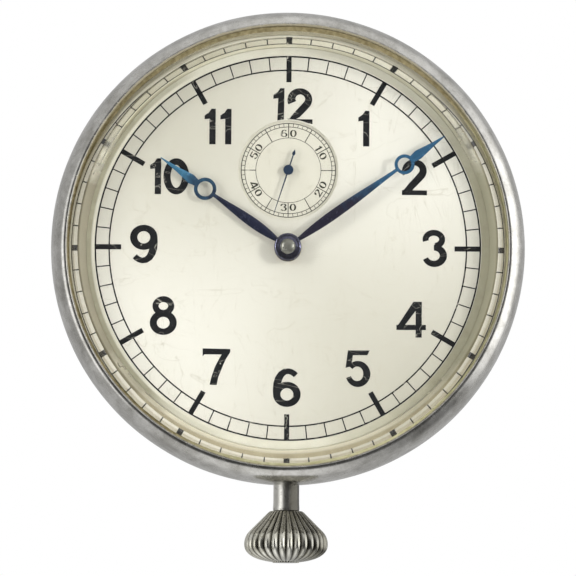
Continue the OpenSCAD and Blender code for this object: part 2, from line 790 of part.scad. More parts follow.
// A groove runs up the cone and round the edge; it narrows with the cone and
// fades out towards the flat bottom, because the rounding's groove is turned
// about a centre that lies a little lower
groove_r = 0.36;
groove_top_r = 0.15;
fade = 0.12;
module flute() {
  ax = crown_out + fade * cos(75);
  az = crown_mid - fade * sin(75);
  reach = crown_round + 0.06 + fade / 2;
  x = ax + reach * cos(45);
  z = az + reach * sin(45);
  len = sqrt(2) * (-crown_down - z) + 1.2;
  translate([ax, 0, az]) rotate([90, 0, 0]) rotate([0, 0, -84])
    rotate_extrude(angle = 129, $fn = 96) translate([reach, 0]) circle(r = groove_r, $fn = 24);
  translate([x, 0, z]) rotate([0, -45, 0])
    cylinder(h = len, r1 = groove_r, r2 = groove_top_r, $fn = 24);
}

module crown() {
  color(nickel) translate([0, stem_y, 0]) difference() {
    rotate_extrude($fn = 96) polygon(concat(
      [[stem_d / 2 + 0.4, -crown_down], [crown_top_r, -crown_down]],
      crown_arc(16),
      [[0, crown_mid - crown_round], [0, -crown_down - 1], [stem_d / 2 + 0.4, -crown_down - 1]]));
    for (i = [0:flutes - 1]) rotate(360 * (i + 0.5) / flutes) flute();
  }
}

// Setting lever and yoke on the dial side

pin_z = groove_z;
lever_at = [6.2, pin_z - crown_travel / 2];
yoke_at = [7, clutch_mid + crown_travel / 2];
module lever_plate(pivot, tip, r_tip, pin, pin_end) {
  plate([0, 0], plate_y - 0.65, plate_y - 0.15) difference() {
    link(pivot, tip, 1.1, r_tip);
    translate(pivot) circle(r = post_r + pivot_fit, $fn = 32);
  }
  disc(tip, plate_y - 0.2, pin_end, pin);
}

module setting_lever() {
  color(steel) lever_plate(lever_at, [0, pin_z], 0.42, 0.3, stem_y - 0.62);
}

module yoke() {
  color(steel) lever_plate(yoke_at, [0, clutch_mid], 0.45, 0.28, stem_y - 1.42);
}

// Crown wheel, ratchet wheel and barrel

ratchet_top = bridge_back + 0.4;
module crown_wheel() {
  base = face_y + 0.4;
  color(steel) difference() {
    union() {
      plate(W, base + 0.3, ratchet_top) toothed(crown_n, ratchet_m, a_crown, 0.85, 1.1);
      disc(W, base, base + 0.35, face_r + 0.7);
      for (i = [0:face_n - 1]) rotate_at(W, 360 * (i + 0.5) / face_n) face_tooth(base);
    }
    disc(W, base - 2, ratchet_top + 1, 2.2 + stem_fit);
  }
}

// Turns a piece, drawn on the X axis, about a point in the dial's plane
module rotate_at(p, a) {
  translate([p[0], 0, p[1]]) rotate([0, -a, 0]) children();
}

module face_tooth(base) {
  w = 0.4 * 2 * PI * face_r / face_n / 2;
  translate([face_r - 0.7, base, 0]) rotate([90, 0, 90]) linear_extrude(1.4)
    polygon([[0.02, 1.2 * w], [0.02, -1.2 * w], [-0.7, -0.6 * w], [-0.7, 0.6 * w]]);
}

module ratchet_wheel() {
  color(steel) plate(A, ratchet_y, ratchet_top) difference() {
    toothed(ratchet_n, ratchet_m, a_ratchet, 0.85, 1.1);
    square(2.02, center = true);
  }
}

module ratchet_screw() {
  color(blued) screw(A, ratchet_top, 2.2, 0.55, 0.7, 0.01, 45);
}

barrel_y = train_y + 0.3;
barrel_top = barrel_y + 3;
module barrel_arbor() {
  color(steel) {
    arbor(A, barrel_y - 0.2, pocket_y, 1.6, 1, 1.2, 0);
    disc(A, barrel_y + 0.75, barrel_top - 0.5, 2.4);
    plate(A, pocket_y - 0.01, ratchet_top - 0.05) square(2, center = true);
  }
}

module barrel_drum() {
  color(gilt) difference() {
    union() {
      plate(A, barrel_y, barrel_y + 0.6) toothed(barrel_n, barrel_m, a_barrel);
      disc(A, barrel_y + 0.55, barrel_top - 0.4, drum_wall_r);
    }
    disc(A, barrel_y + 0.6, barrel_top, drum_wall_r - 0.6);
    disc(A, barrel_y - 1, barrel_top, 1.6 + stem_fit);
  }
}

module barrel_lid() {
  color(gilt) difference() {
    disc(A, barrel_top - 0.4, barrel_top, drum_wall_r);
    disc(A, barrel_y, barrel_top + 1, 1.6 + stem_fit);
  }
}

module mainspring() {
  color(blued) plate(A, barrel_y + 0.75, barrel_top - 0.5)
    polygon(coil(main_r0, main_r1, main_coils, main_t));
}

// Going train

inter_y = bridge_y - 1.15;
module intermediate_wheel() {
  color(brass) wheel(I, inter_y, inter_n, inter_m, a_inter, 1.8, 5, 1.1);
  color(steel) {
    leaves(I, barrel_y - 0.1, barrel_y + 0.8, inter_leaf_n, barrel_m, a_inter_leaf);
    arbor(I, barrel_y - 0.1, inter_y + 0.75, 0.5, 0.25, 0.9, 1);
  }
}

centre_y = train_y + 1.6;
module centre_wheel() {
  color(brass) wheel(C, centre_y, centre_n, centre_m, a_centre, 1.9, 5, 1);
  color(steel) {
    leaves(C, inter_y - 0.15, inter_y + 0.65, leaf_n, inter_m, a_centre_leaf);
    disc(C, minute_y - hand_t - 0.5 + seat, inter_y + 0.9, 0.86);
    disc(C, inter_y + 0.89, bridge_y + 1, 0.3);
  }
}

module third_wheel() {
  color(brass) wheel(T, train_y + 0.4, third_n, third_m, a_third, 1.6, 5, 0.8);
  color(steel) {
    leaves(T, centre_y - 0.2, centre_y + 0.7, leaf_n, centre_m, a_third_leaf);
    arbor(T, train_y + 0.1, bridge_y - 0.1, 0.5, 0.2, 0.9, 0.9);
  }
}

fourth_y = train_y + 2.5;
module fourth_wheel() {
  color(brass) wheel(F, fourth_y, fourth_n, fourth_m, a_fourth, 1.5, 5, 0.7);
  color(steel) {
    leaves(F, train_y + 0.3, train_y + 1, leaf_n, third_m, a_fourth_leaf);
    arbor(F, train_y + 0.1, bridge_y - 0.1, 0.5, 0.2, 0, 0.9);
    disc(F, dial_y - 0.5, train_y + 0.11, 0.34);
  }
}

escape_r = 3.3;
module escape_wheel() {
  color(steel) {
    plate(E, fork_y, fork_y + 0.35) difference() {
      polygon([for (i = [0:escape_n - 1], q = [[2.55, 0], [escape_r, 7], [escape_r, 10],
        [2.55, 12]]) q[0] * turned_by(360 * i / escape_n + q[1])]);
      arms(0.9, 1.95, 4, 0.45);
    }
    leaves(E, fourth_y - 0.15, fourth_y + 0.65, escape_leaf_n, fourth_m, a_escape_leaf);
    arbor(E, train_y + 0.1, bridge_y - 0.1, 0.36, fine, 0.9, 0.9);
  }
}

// The pallets stand clear of the escape wheel over the fork's whole swing
stone_r = escape_r + 0.16 + short;
function stone_at(s, r) = E + r * turned_by(along(E, P) + s * 30);
module pallet_fork() {
  way = along(P, B);
  end = P + 5.3 * turned_by(way);
  color(steel) {
    plate([0, 0], fork_y, fork_y + fork_t) difference() {
      union() {
        link(P, end, 0.75, 0.45);
        for (s = [-1, 1]) {
          link(P, stone_at(s, stone_r + 0.85), 0.7, 0.34);
          link(end, end + 0.75 * turned_by(way + s * 35), 0.4, 0.2);
        }
      }
      translate(end + 0.9 * turned_by(way)) rotate(way) square([2, 0.55], center = true);
    }
    arbor(P, train_y + 0.1, pallet_y - 0.1, 0.3, fine, 0.8, 0.6);
  }
}

module pallet_stones() {
  color(ruby) for (s = [-1, 1])
    plate(stone_at(s, stone_r + 0.26), fork_y, fork_y + fork_t) rotate(along(E, P) + s * 30)
      square([0.52, 0.42], center = true);
}

balance_y = pallet_y + 1;
module balance_wheel() {
  color(gilt) {
    plate(B, balance_y, balance_y + 0.8) difference() {
      circle(r = balance_r, $fn = 96);
      circle(r = balance_r - 0.75, $fn = 96);
    }
    plate(B, balance_y + 0.2, balance_y + 0.6) rotate(32) difference() {
      union() {
        circle(r = 1.3, $fn = 48);
        square([2 * balance_r - 1, 1], center = true);
      }
      circle(r = 0.36, $fn = 32);
    }
    for (i = [0:11]) rotate_at(B, 32 + 15 + 30 * i) translate([balance_r - 0.1, balance_y + 0.4, 0])
      rotate([0, 90, 0]) cylinder(h = 0.6, r = 0.32, $fn = 16);
  }
}

module balance_staff() {
  color(steel) {
    arbor(B, train_y + 0.1, cock_y - 0.1, 0.35, fine, 0.8, 0.8);
    disc(B, hair_y - 0.05, hair_y + 0.45, 1.2);
    disc(B, fork_y + fork_t + 0.25, fork_y + fork_t + 0.55, 1.7);
    disc(B - 1.3 * turned_by(along(P, B)), fork_y + fork_t + short, fork_y + fork_t + 0.3, 0.2);
  }
}

// Motion work and hands

module cannon_pinion() {
  color(steel) difference() {
    union() {
      leaves(C, motion_y - 0.4, motion_y + 0.25, cannon_n, motion_m, a_cannon);
      disc(C, hour_y - hand_t - 0.3, motion_y - 0.39, 1.25);
      disc(C, minute_y - hand_t, hour_y - hand_t - 0.29, 1.1);
    }
    disc(C, minute_y - 3, motion_y + 1, 0.88);
  }
}

module minute_wheel() {
  color(brass) difference() {
    union() {
      wheel(M, motion_y - 0.3, minute_n, motion_m, a_minute, 1.5, 4, 0.8);
      leaves(M, dial_back + 0.35, motion_y - 0.1, minute_leaf_n, hour_m, a_minute_leaf);
    }
    disc(M, dial_back - 1, motion_y + 1, post_r + stem_fit);
  }
}

module hour_wheel() {
  color(brass) difference() {
    union() {
      wheel(C, dial_back + 0.45, hour_n, hour_m, a_hour, 2.4, 4, 1);
      disc(C, hour_y - hand_t, dial_back + 0.6, 1.75);
    }
    disc(C, hour_y - 2, dial_back + 2, 1.25 + stem_fit);
  }
}

module idler(p, n, turn) {
  color(brass) difference() {
    plate(p, motion_y - 0.3, motion_y + 0.2) toothed(n, motion_m, turn);
    disc(p, motion_y - 1, motion_y + 1, post_r + stem_fit);
  }
}

module transfer_wheel() {
  idler(S2, transfer_n, a_transfer);
}

module setting_wheel() {
  idler(S1, setting_n, a_setting);
}

// One hand, drawn upright: a leaf swells from the boss to a narrow neck, then
// come an open ring and a spear that tapers to the tip
module hand(len, ring_at, ring_r, hole_r, leaf_w, neck_w, boss_r, bore) {
  n = 20;
  y0 = boss_r * 0.8;
  y1 = ring_at - ring_r + 0.15;
  half = [for (i = [0:n]) let (t = i / n)
    [neck_w / 2 + (leaf_w - neck_w) / 2 * pow(sin(180 * pow(t, 0.72)), 1.3), y0 + (y1 - y0) * t]];
  spear0 = ring_at + hole_r + 0.1;
  difference() {
    union() {
      circle(r = boss_r, $fn = 64);
      polygon(concat(half, [for (i = [n:-1:0]) [-half[i][0], half[i][1]]]));
      translate([0, ring_at]) circle(r = ring_r, $fn = 48);
      polygon([[-0.55, spear0], [0.55, spear0], [0.82, spear0 + 1.5], [0.08, len],
        [-0.08, len], [-0.82, spear0 + 1.5]]);
    }
    translate([0, ring_at]) circle(r = hole_r, $fn = 48);
    circle(r = bore, $fn = 48);
  }
}

module hour_hand() {
  color(blued) plate(C, hour_y - hand_t, hour_y) rotate(-hour_turn)
    hand(hour_len, hour_len - 9.2, 1.9, 1.38, 1.7, 0.6, 2.6, 1.77);
}

module minute_hand() {
  color(blued) plate(C, minute_y - hand_t, minute_y) rotate(-minute_turn)
    hand(minute_len, minute_len - 8.3, 1.69, 1.2, 1.65, 0.55, 2.2, 1.12);
}

module hand_collet() {
  y = minute_y - hand_t;
  color(blued) lathe() polygon([[0.88, y], [2.4, y], [2.4, y - 0.25], [2, y - 0.5],
    [0.88, y - 0.5]]);
}

// A low dome closes the collet
module hand_cap() {
  y = minute_y - hand_t - 0.5;
  r = 1.55;
  color(steel) lathe() polygon(concat([[0, y], [r, y]],
    [for (i = [0:8]) [r * cos(90 * i / 8), y - 0.15 - 0.75 * sin(90 * i / 8)]]));
}

module seconds_hand() {
  y = dial_y - 0.2;
  color(blued) {
    plate(F, y - 0.15, y) rotate(-seconds_turn) difference() {
      union() {
        polygon([[-0.22, 0], [-0.12, -2.7], [0.12, -2.7], [0.22, 0], [0.06, seconds_len],
          [-0.06, seconds_len]]);
        translate([0, -2.9]) circle(r = 0.42, $fn = 24);
        circle(r = 0.85, $fn = 48);
      }
      circle(r = 0.36, $fn = 32);
    }
    difference() {
      disc(F, y - 0.01, y + 0.5, 0.5);
      disc(F, y - 1, y + 1, 0.36);
    }
  }
}

// One line for each node

bezel();
crystal();
glass_gasket();
dial_surround();
case_band();
pendant_tube();
movement_ring();
case_screws();
dial();
dial_feet();
seconds_dial();
main_plate();
wheel_posts();
stem_block();
barrel_bridge();
train_bridge();
pallet_bridge();
balance_cock();
bridge_screws();
jewels();
banking_pins();
regulator();
hair_stud();
hairspring();
click();
click_spring();
crown_wheel_core();
back_cover();
winding_pinion();
crown();
winding_stem();
sliding_clutch();
setting_lever();
yoke();
crown_wheel();
ratchet_wheel();
ratchet_screw();
barrel_arbor();
barrel_drum();
barrel_lid();
mainspring();
intermediate_wheel();
centre_wheel();
cannon_pinion();
minute_hand();
hand_collet();
hand_cap();
minute_wheel();
hour_wheel();
hour_hand();
transfer_wheel();
setting_wheel();
third_wheel();
fourth_wheel();
seconds_hand();
escape_wheel();
pallet_fork();
pallet_stones();
balance_wheel();
balance_staff();
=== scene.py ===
import math

import bmesh
import bpy
import numpy as np
from mathutils import Matrix, Vector


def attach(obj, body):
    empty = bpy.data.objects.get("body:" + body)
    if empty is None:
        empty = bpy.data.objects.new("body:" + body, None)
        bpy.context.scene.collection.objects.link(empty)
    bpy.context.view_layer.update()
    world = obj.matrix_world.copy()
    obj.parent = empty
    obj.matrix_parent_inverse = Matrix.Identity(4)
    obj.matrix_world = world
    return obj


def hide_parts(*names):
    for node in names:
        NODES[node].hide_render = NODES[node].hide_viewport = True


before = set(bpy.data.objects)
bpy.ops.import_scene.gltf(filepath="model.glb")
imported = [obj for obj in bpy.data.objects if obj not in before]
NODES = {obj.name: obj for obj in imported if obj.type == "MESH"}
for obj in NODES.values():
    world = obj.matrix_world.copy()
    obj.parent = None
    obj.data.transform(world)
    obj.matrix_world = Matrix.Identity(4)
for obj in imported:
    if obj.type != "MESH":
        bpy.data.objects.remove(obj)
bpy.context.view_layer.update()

MM = 0.001

# Sizes in millimetres, as in the CAD source: radii from the dial's axis, depths along Y

# Bezel
CASE_R = 40.0
NECK_R = 38.9
INNER_R = 38.0
LIP_R = 37.0
CREST_Y = -16.0
BEZEL_BACK = -8.0

# Glass, from its back to its front
GLASS_Y = -14.2
GLASS_EDGE_Y = -14.95
GLASS_FRONT_Y = -17.2
GLASS_R = INNER_R - 0.3
BEVEL_R = LIP_R - 0.25

# Seat ring between dial and glass
MARGIN_R = 32.66
WALL_FOOT_R = 34.0
WALL_TOP_R = 36.7

# Dial
DIAL_Y = -9.4
DIAL_T = 0.6
DIAL_R = WALL_FOOT_R - 0.02
DIAL_HOLE_R = 2.3

# Seconds dial, in a well about the point SUB
SUB = (0.0, 13.2)
WELL_Y = -8.8
WELL_R = 8.45
WELL_CLEAR_R = 8.62
SECONDS_PLATE_R = 9.15
SECONDS_PLATE_T = 0.3
SECONDS_HOLE_R = 0.55

# Winding stem and crown
STEM_Y = -4.0
FLUTES = 32

# Sides of turned pieces
SIDES = 256
FINE_SIDES = 360


# Meshes

def piece(name, bm, body, mat, node):
    """An object from a bmesh, on its body and in the place of its CAD node."""
    mesh = bpy.data.meshes.new(name)
    bmesh.ops.recalc_face_normals(bm, faces=bm.faces)
    bm.to_mesh(mesh)
    bm.free()
    obj = bpy.data.objects.new(name, mesh)
    bpy.context.scene.collection.objects.link(obj)
    mesh.materials.append(mat)
    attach(obj, body)
    if node:
        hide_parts(node)
    return obj


def make(name, verts, faces, body, mat, slot, node=None, smooth=None):
    """A piece from points in millimetres; smooth is the edge angle that stays sharp."""
    source = bpy.data.meshes.new(name + "_source")
    source.from_pydata([(x * MM, y * MM, z * MM) for x, y, z in verts], [], faces)
    bm = bmesh.new()
    bm.from_mesh(source)
    bpy.data.meshes.remove(source)
    obj = piece(name, bm, body, mat, node)
    if smooth is not None:
        obj.data.shade_smooth()
        obj.data.set_sharp_from_angle(angle=math.radians(smooth))


def lathe(profile, steps=SIDES, closed=True, ripple=None):
    """Points and faces of a profile [(radius, y)...] turned about the dial's axis."""
    verts, faces = [], []
    n = len(profile)
    for i in range(steps):
        a = 2 * math.pi * i / steps
        for r, y in profile:
            k = r + (ripple(a, r, y) if ripple else 0.0)
            verts.append((k * math.cos(a), y, k * math.sin(a)))
    for i in range(steps):
        b, c = i * n, ((i + 1) % steps) * n
        for j in range(n if closed else n - 1):
            k = (j + 1) % n
            faces.append((b + j, b + k, c + k, c + j))
    return verts, faces


def disc_lathe(profile, steps=SIDES):
    """As lathe, for a profile whose first and last points lie on the axis."""
    inner = profile[1:-1]
    verts, faces = lathe(inner, steps, closed=False)
    n = len(inner)
    first, last = len(verts), len(verts) + 1
    verts += [(0, profile[0][1], 0), (0, profile[-1][1], 0)]
    for i in range(steps):
        b, c = i * n, ((i + 1) % steps) * n
        faces.append((first, b, c))
        faces.append((last, c + n - 1, b + n - 1))
    return verts, faces


def arc(cx, cy, rx, ry, a0, a1, n=16):
    """Points on an ellipse about (cx, cy), from a0 to a1 degrees."""
    return [(cx + rx * math.cos(math.radians(a0 + (a1 - a0) * i / n)),
             cy + ry * math.sin(math.radians(a0 + (a1 - a0) * i / n))) for i in range(n + 1)]


class Print:
    """Flat shapes gathered into one piece that lies on the dial."""

    LIFT = 0.0004
    LEVELS = 8
    BOOK_WIDTH = 1.2

    def __init__(self, y, thick=0.02):
        self.verts, self.faces, self.y, self.thick, self.count = [], [], y, thick, 0

    def next_front(self):
        """The face of the next slab; its height varies so that slabs that cross don't fight."""
        lift = self.LIFT * (self.count % self.LEVELS)
        self.count += 1
        return self.y - self.thick - lift

    def shape(self, points):
        """A filled outline as a thin slab."""
        n, b = len(points), len(self.verts)
        for y in (self.next_front(), self.y):
            self.verts += [(x, y, z) for x, z in points]
        self.faces.append(tuple(range(b, b + n)))
        self.faces.append(tuple(range(b + 2 * n - 1, b + n - 1, -1)))
        for i in range(n):
            j = (i + 1) % n
            self.faces.append((b + i, b + j, b + n + j, b + n + i))

    def ribbon(self, path, closed=False):
        """A band along points (x, z, width)."""
        pts = np.array([p[:2] for p in path], float)
        w = np.array([p[2] for p in path], float) / 2
        n = len(pts)
        if closed:
            t = np.roll(pts, -1, 0) - np.roll(pts, 1, 0)
        else:
            t = np.gradient(pts, axis=0)
        t /= np.linalg.norm(t, axis=1)[:, None]
        side = np.stack([-t[:, 1], t[:, 0]], 1) * w[:, None]
        b = len(self.verts)
        for y in (self.next_front(), self.y):
            for s in (1, -1):
                self.verts += [(x, y, z) for x, z in pts + s * side]
        fl, fr, bl, br = b, b + n, b + 2 * n, b + 3 * n
        for i in range(n if closed else n - 1):
            j = (i + 1) % n
            self.faces += [(fl + i, fl + j, fr + j, fr + i), (bl + i, br + i, br + j, bl + j),
                           (fl + i, bl + i, bl + j, fl + j), (fr + i, fr + j, br + j, br + i)]
        if not closed:
            e = n - 1
            self.faces += [(fl, fr, br, bl), (fl + e, bl + e, br + e, fr + e)]

    def ring(self, centre, r, w, steps=240):
        self.ribbon([(centre[0] + r * math.cos(2 * math.pi * i / steps),
                      centre[1] + r * math.sin(2 * math.pi * i / steps), w)
                     for i in range(steps)], closed=True)

    def spoke(self, centre, deg, r0, r1, w):
        """A straight mark, at deg clockwise from twelve."""
        a = math.radians(90 - deg)
        u = (math.cos(a), math.sin(a))
        self.ribbon([(centre[0] + u[0] * r, centre[1] + u[1] * r, w) for r in (r0, r1)])

    def digit(self, d, at, height, turn=0.0, book=False):
        """One numeral about a place, turned clockwise; book: wide, thick and thin strokes."""
        shapes, ribbons = DIGITS[d]
        wide = WIDTHS[d]
        c, s = math.cos(math.radians(-turn)), math.sin(math.radians(-turn))

        def put(x, z):
            x = (x - wide / 2) * height * (self.BOOK_WIDTH if book else 1)
            z = (z - 0.5) * height
            return at[0] + x * c - z * s, at[1] + x * s + z * c

        for pts in shapes:
            self.shape([put(*p) for p in pts])
        for path, closed in ribbons:
            if book:
                path = thick_and_thin(path, closed)
            self.ribbon([(*put(x, z), w * height) for x, z, w in path], closed)

    def push_out(self, centre, r):
        """Whatever reaches into a round well is drawn back to its edge."""
        for i, (x, y, z) in enumerate(self.verts):
            d = math.hypot(x - centre[0], z - centre[1])
            if d < r:
                self.verts[i] = (centre[0] + (x - centre[0]) * r / d, y,
                                 centre[1] + (z - centre[1]) * r / d)

    def finish(self, name, body, mat, slot):
        make(name, self.verts, self.faces, body, mat, slot)


def wide_arc(cx, cy, rx, ry, a0, a1, w0, w1, n=20):
    """An arc with its width going evenly from w0 to w1."""
    return [(x, y, w0 + (w1 - w0) * i / n) for i, (x, y) in
            enumerate(arc(cx, cy, rx, ry, a0, a1, n))]


def thick_and_thin(path, closed, thick=0.24, thin=0.07):
    """The same stroke with its width set by how upright it runs."""
    pts = np.array([q[:2] for q in path], float)
    t = np.roll(pts, -1, 0) - np.roll(pts, 1, 0) if closed else np.gradient(pts, axis=0)
    up = np.abs(t[:, 1]) / np.linalg.norm(t, axis=1)
    return [(x, z, thin + (thick - thin) * u ** 2) for (x, z), u in zip(pts, up)]


def oval(cx, cy, rx, ry, side, top, n=40):
    """An upright ellipse whose stroke is side wide at its sides and top wide above and below."""
    return [(cx + rx * math.cos(2 * math.pi * i / n), cy + ry * math.sin(2 * math.pi * i / n),
             top + (side - top) * abs(math.cos(2 * math.pi * i / n)) ** 1.5) for i in range(n)]


# Numerals of a bold poster face in a box of height 1: (filled outlines, [(strokes, closed)])
SIX = ([], [(oval(0.37, 0.325, 0.262, 0.243, 0.19, 0.165), True),
            ([(0.108, 0.33, 0.19), (0.106, 0.45, 0.2), (0.118, 0.6, 0.2), (0.155, 0.735, 0.195),
              (0.22, 0.845, 0.18), (0.31, 0.913, 0.16), (0.405, 0.928, 0.15),
              (0.49, 0.905, 0.148), (0.56, 0.86, 0.148), (0.60, 0.82, 0.148)], False)])
DIGITS = {
    0: ([], [(oval(0.355, 0.5, 0.26, 0.415, 0.2, 0.185), True)]),
    1: ([[(0.31, 1.0), (0.19, 1.0), (0.12, 0.895), (0.0, 0.81), (0.0, 0.70), (0.135, 0.72),
          (0.135, 0.0), (0.31, 0.0)]], []),
    2: ([[(0.0, 0.145), (0.0, 0.0), (0.18, 0.0), (0.36, 0.0), (0.54, 0.0), (0.70, -0.005),
          (0.70, 0.13), (0.3, 0.135)]],
        [(wide_arc(0.35, 0.69, 0.24, 0.225, 205, 90, 0.24, 0.17)[:-1]
          + wide_arc(0.35, 0.69, 0.24, 0.225, 90, -38, 0.17, 0.21)
          + [(0.44, 0.44, 0.205), (0.27, 0.26, 0.2), (0.13, 0.09, 0.19)], False)]),
    3: ([], [(wide_arc(0.335, 0.74, 0.225, 0.182, 195, 90, 0.165, 0.16)[:-1]
              + wide_arc(0.335, 0.74, 0.225, 0.182, 90, -80, 0.16, 0.17), False),
             (wide_arc(0.345, 0.295, 0.25, 0.222, 92, 0, 0.16, 0.2)[:-1]
              + wide_arc(0.345, 0.295, 0.25, 0.222, 0, -160, 0.2, 0.15), False)]),
    4: ([[(0.0, 0.28), (0.0, 0.215), (0.12, 0.215), (0.25, 0.365), (0.62, 0.86), (0.62, 1.0),
          (0.469, 1.0)],
         [(0.0, 0.355), (0.0, 0.21), (0.82, 0.21), (0.82, 0.355)],
         [(0.534, 1.0), (0.534, 0.0), (0.705, 0.0), (0.705, 1.0)]], []),
    5: ([[(0.085, 1.0), (0.085, 0.868), (0.62, 0.868), (0.685, 1.0)],
         [(0.085, 1.0), (0.02, 0.515), (0.185, 0.56), (0.24, 1.0)]],
        [(wide_arc(0.352, 0.35, 0.258, 0.28, 140, 90, 0.15, 0.155)[:-1]
          + wide_arc(0.352, 0.35, 0.258, 0.28, 90, 0, 0.155, 0.2)[:-1]
          + wide_arc(0.352, 0.35, 0.258, 0.28, 0, -162, 0.2, 0.14), False)]),
    6: SIX,
    7: ([[(0.0, 1.0), (0.0, 0.782), (0.047, 0.836), (0.536, 0.836), (0.62, 0.9), (0.757, 0.987)],
         [(0.757, 0.987), (0.757, 0.90), (0.647, 0.726), (0.57, 0.56), (0.50, 0.38),
          (0.426, 0.19), (0.394, 0.0), (0.196, 0.0), (0.237, 0.19), (0.33, 0.473),
          (0.385, 0.59), (0.457, 0.726), (0.536, 0.86), (0.536, 0.99)]], []),
    8: ([], [(oval(0.355, 0.745, 0.203, 0.178, 0.16, 0.155), True),
             (oval(0.355, 0.31, 0.258, 0.235, 0.185, 0.165), True)]),
    9: ([], [([(0.74 - x, 1.0 - z, w) for x, z, w in path], closed) for path, closed in SIX[1]]),
}
WIDTHS = {0: 0.71, 1: 0.31, 2: 0.70, 3: 0.70, 4: 0.82, 5: 0.70, 6: 0.74, 7: 0.757, 8: 0.71,
          9: 0.74}


# Materials

# What dulls the nickel: dirt on the lip, dirt and painted shade in the crown's grooves, and
# painted shade on one side
LIP_DIRT = (0.27, 0.235, 0.14)
GROOVE_DIRT_AND_SHADE = (0.055, 0.05, 0.035)
PAINTED_SIDE_SHADE = (0.045, 0.042, 0.032)

# Where the glass's film begins, and where the dial's painted sheen is full
BEVEL_FILM_R = 34.9
PAINTED_SHEEN_R = 28.0


class Graph:
    """Short names for the nodes that the materials share."""

    def __init__(self, tree):
        self.tree = tree

    def add(self, kind, **values):
        node = self.tree.nodes.new(kind)
        for key, value in values.items():
            setattr(node, key, value)
        return node

    def link(self, a, b):
        self.tree.links.new(a, b)

    def feed(self, value, socket):
        """A number or a colour as the socket's own value, anything else by a link."""
        if isinstance(value, (int, float)):
            socket.default_value = value
        elif isinstance(value, tuple):
            socket.default_value = (*value, 1)
        else:
            self.link(value, socket)

    def fill(self, node, values):
        """Feeds a node's inputs by their names."""
        for key, value in values.items():
            self.feed(value, node.inputs[key])

    def coords(self, stretch=(1, 1, 1)):
        """The object's own coordinates in millimetres."""
        tex = self.add("ShaderNodeTexCoord")
        scale = self.add("ShaderNodeMapping")
        scale.inputs["Scale"].default_value = [1000 * s for s in stretch]
        self.link(tex.outputs["Object"], scale.inputs["Vector"])
        return scale.outputs["Vector"]

    def axes(self, output="Object"):
        """X, Y and Z of a texture coordinate, apart."""
        tex = self.add("ShaderNodeTexCoord")
        sep = self.add("ShaderNodeSeparateXYZ")
        self.link(tex.outputs[output], sep.inputs[0])
        return sep.outputs["X"], sep.outputs["Y"], sep.outputs["Z"]

    def noise(self, scale, detail=4, rough=0.6, stretch=(1, 1, 1), warp=0.0):
        """Noise of so many waves to the millimetre."""
        node = self.add("ShaderNodeTexNoise")
        self.fill(node, {"Scale": scale, "Detail": detail, "Roughness": rough,
                         "Distortion": warp, "Vector": self.coords(stretch)})
        return node.outputs["Fac"]

    def ramp(self, fac, stops):
        """A colour by how large fac is, from stops (fac, colour)."""
        node = self.add("ShaderNodeValToRGB")
        ends = node.color_ramp.elements
        ends[0].position, ends[1].position = stops[0][0], stops[-1][0]
        ends[0].color, ends[1].color = (*stops[0][1], 1), (*stops[-1][1], 1)
        for pos, col in stops[1:-1]:
            ends.new(pos).color = (*col, 1)
        self.link(fac, node.inputs["Fac"])
        return node.outputs["Color"]

    def grey(self, fac, stops):
        """As ramp, for plain numbers."""
        return self.ramp(fac, [(p, (v, v, v)) for p, v in stops])

    def cloud(self, dark, light, *noise):
        """A colour that drifts from dark to light with a noise."""
        return self.ramp(self.noise(*noise), [(0.3, dark), (0.7, light)])

    def gloss(self, target, low, high, *noise):
        """Roughness that drifts from low to high with a noise."""
        self.link(self.grey(self.noise(*noise), [(0.3, low), (0.7, high)]),
                  target.inputs["Roughness"])

    def mix(self, fac, a, b):
        """Colour a going over to b as fac goes from 0 to 1."""
        node = self.add("ShaderNodeMix", data_type="RGBA")
        colours = [s for s in node.inputs if s.type == "RGBA"]
        for value, socket in zip((fac, a, b), (node.inputs[0], *colours)):
            self.feed(value, socket)
        return [s for s in node.outputs if s.type == "RGBA"][0]

    def math(self, op, *values):
        node = self.add("ShaderNodeMath", operation=op)
        for value, socket in zip(values, node.inputs):
            self.feed(value, socket)
        return node.outputs[0]

    def wobble(self, noise, reach):
        """Noise about zero, reach wide."""
        return self.math("MULTIPLY", self.math("SUBTRACT", noise, 0.5), reach)

    def surface(self, shader):
        self.link(shader.outputs[0], self.tree.nodes["Material Output"].inputs["Surface"])

    def switch(self, fac, shader, other):
        """The other shader where fac is 1."""
        node = self.add("ShaderNodeMixShader")
        self.link(fac, node.inputs["Fac"])
        self.link(shader.outputs[0], node.inputs[1])
        self.link(other.outputs[0], node.inputs[2])
        return node

    def around(self):
        """Distance from the dial's middle in mm, and the sine and cosine of the place round it."""
        x, _, z = self.axes()
        r = self.math("SQRT", self.math("ADD", self.math("MULTIPLY", x, x),
                                        self.math("MULTIPLY", z, z)))
        return (self.math("MULTIPLY", r, 1000), self.math("DIVIDE", z, r),
                self.math("DIVIDE", x, r))

    def bump(self, height, strength, dist, target):
        """Small unevenness of the surface, dist in millimetres."""
        node = self.add("ShaderNodeBump")
        self.fill(node, {"Strength": strength, "Distance": dist * MM, "Height": height})
        self.link(node.outputs["Normal"], target.inputs["Normal"])


def new_material(name):
    """A material, its graph and its principled shader."""
    mat = bpy.data.materials.new(name)
    mat.use_nodes = True
    return mat, Graph(mat.node_tree), mat.node_tree.nodes["Principled BSDF"]


def groove(g):
    """How deep in the crown's flutes a point lies, from 0 on a ridge to 1 in a groove."""
    x, y, _ = g.axes()
    turn = g.math("ARCTAN2", g.math("SUBTRACT", y, STEM_Y * MM), x)
    wave = g.math("COSINE", g.math("MULTIPLY", turn, FLUTES))
    return g.math("ADD", g.math("MULTIPLY", wave, 0.5), 0.5)


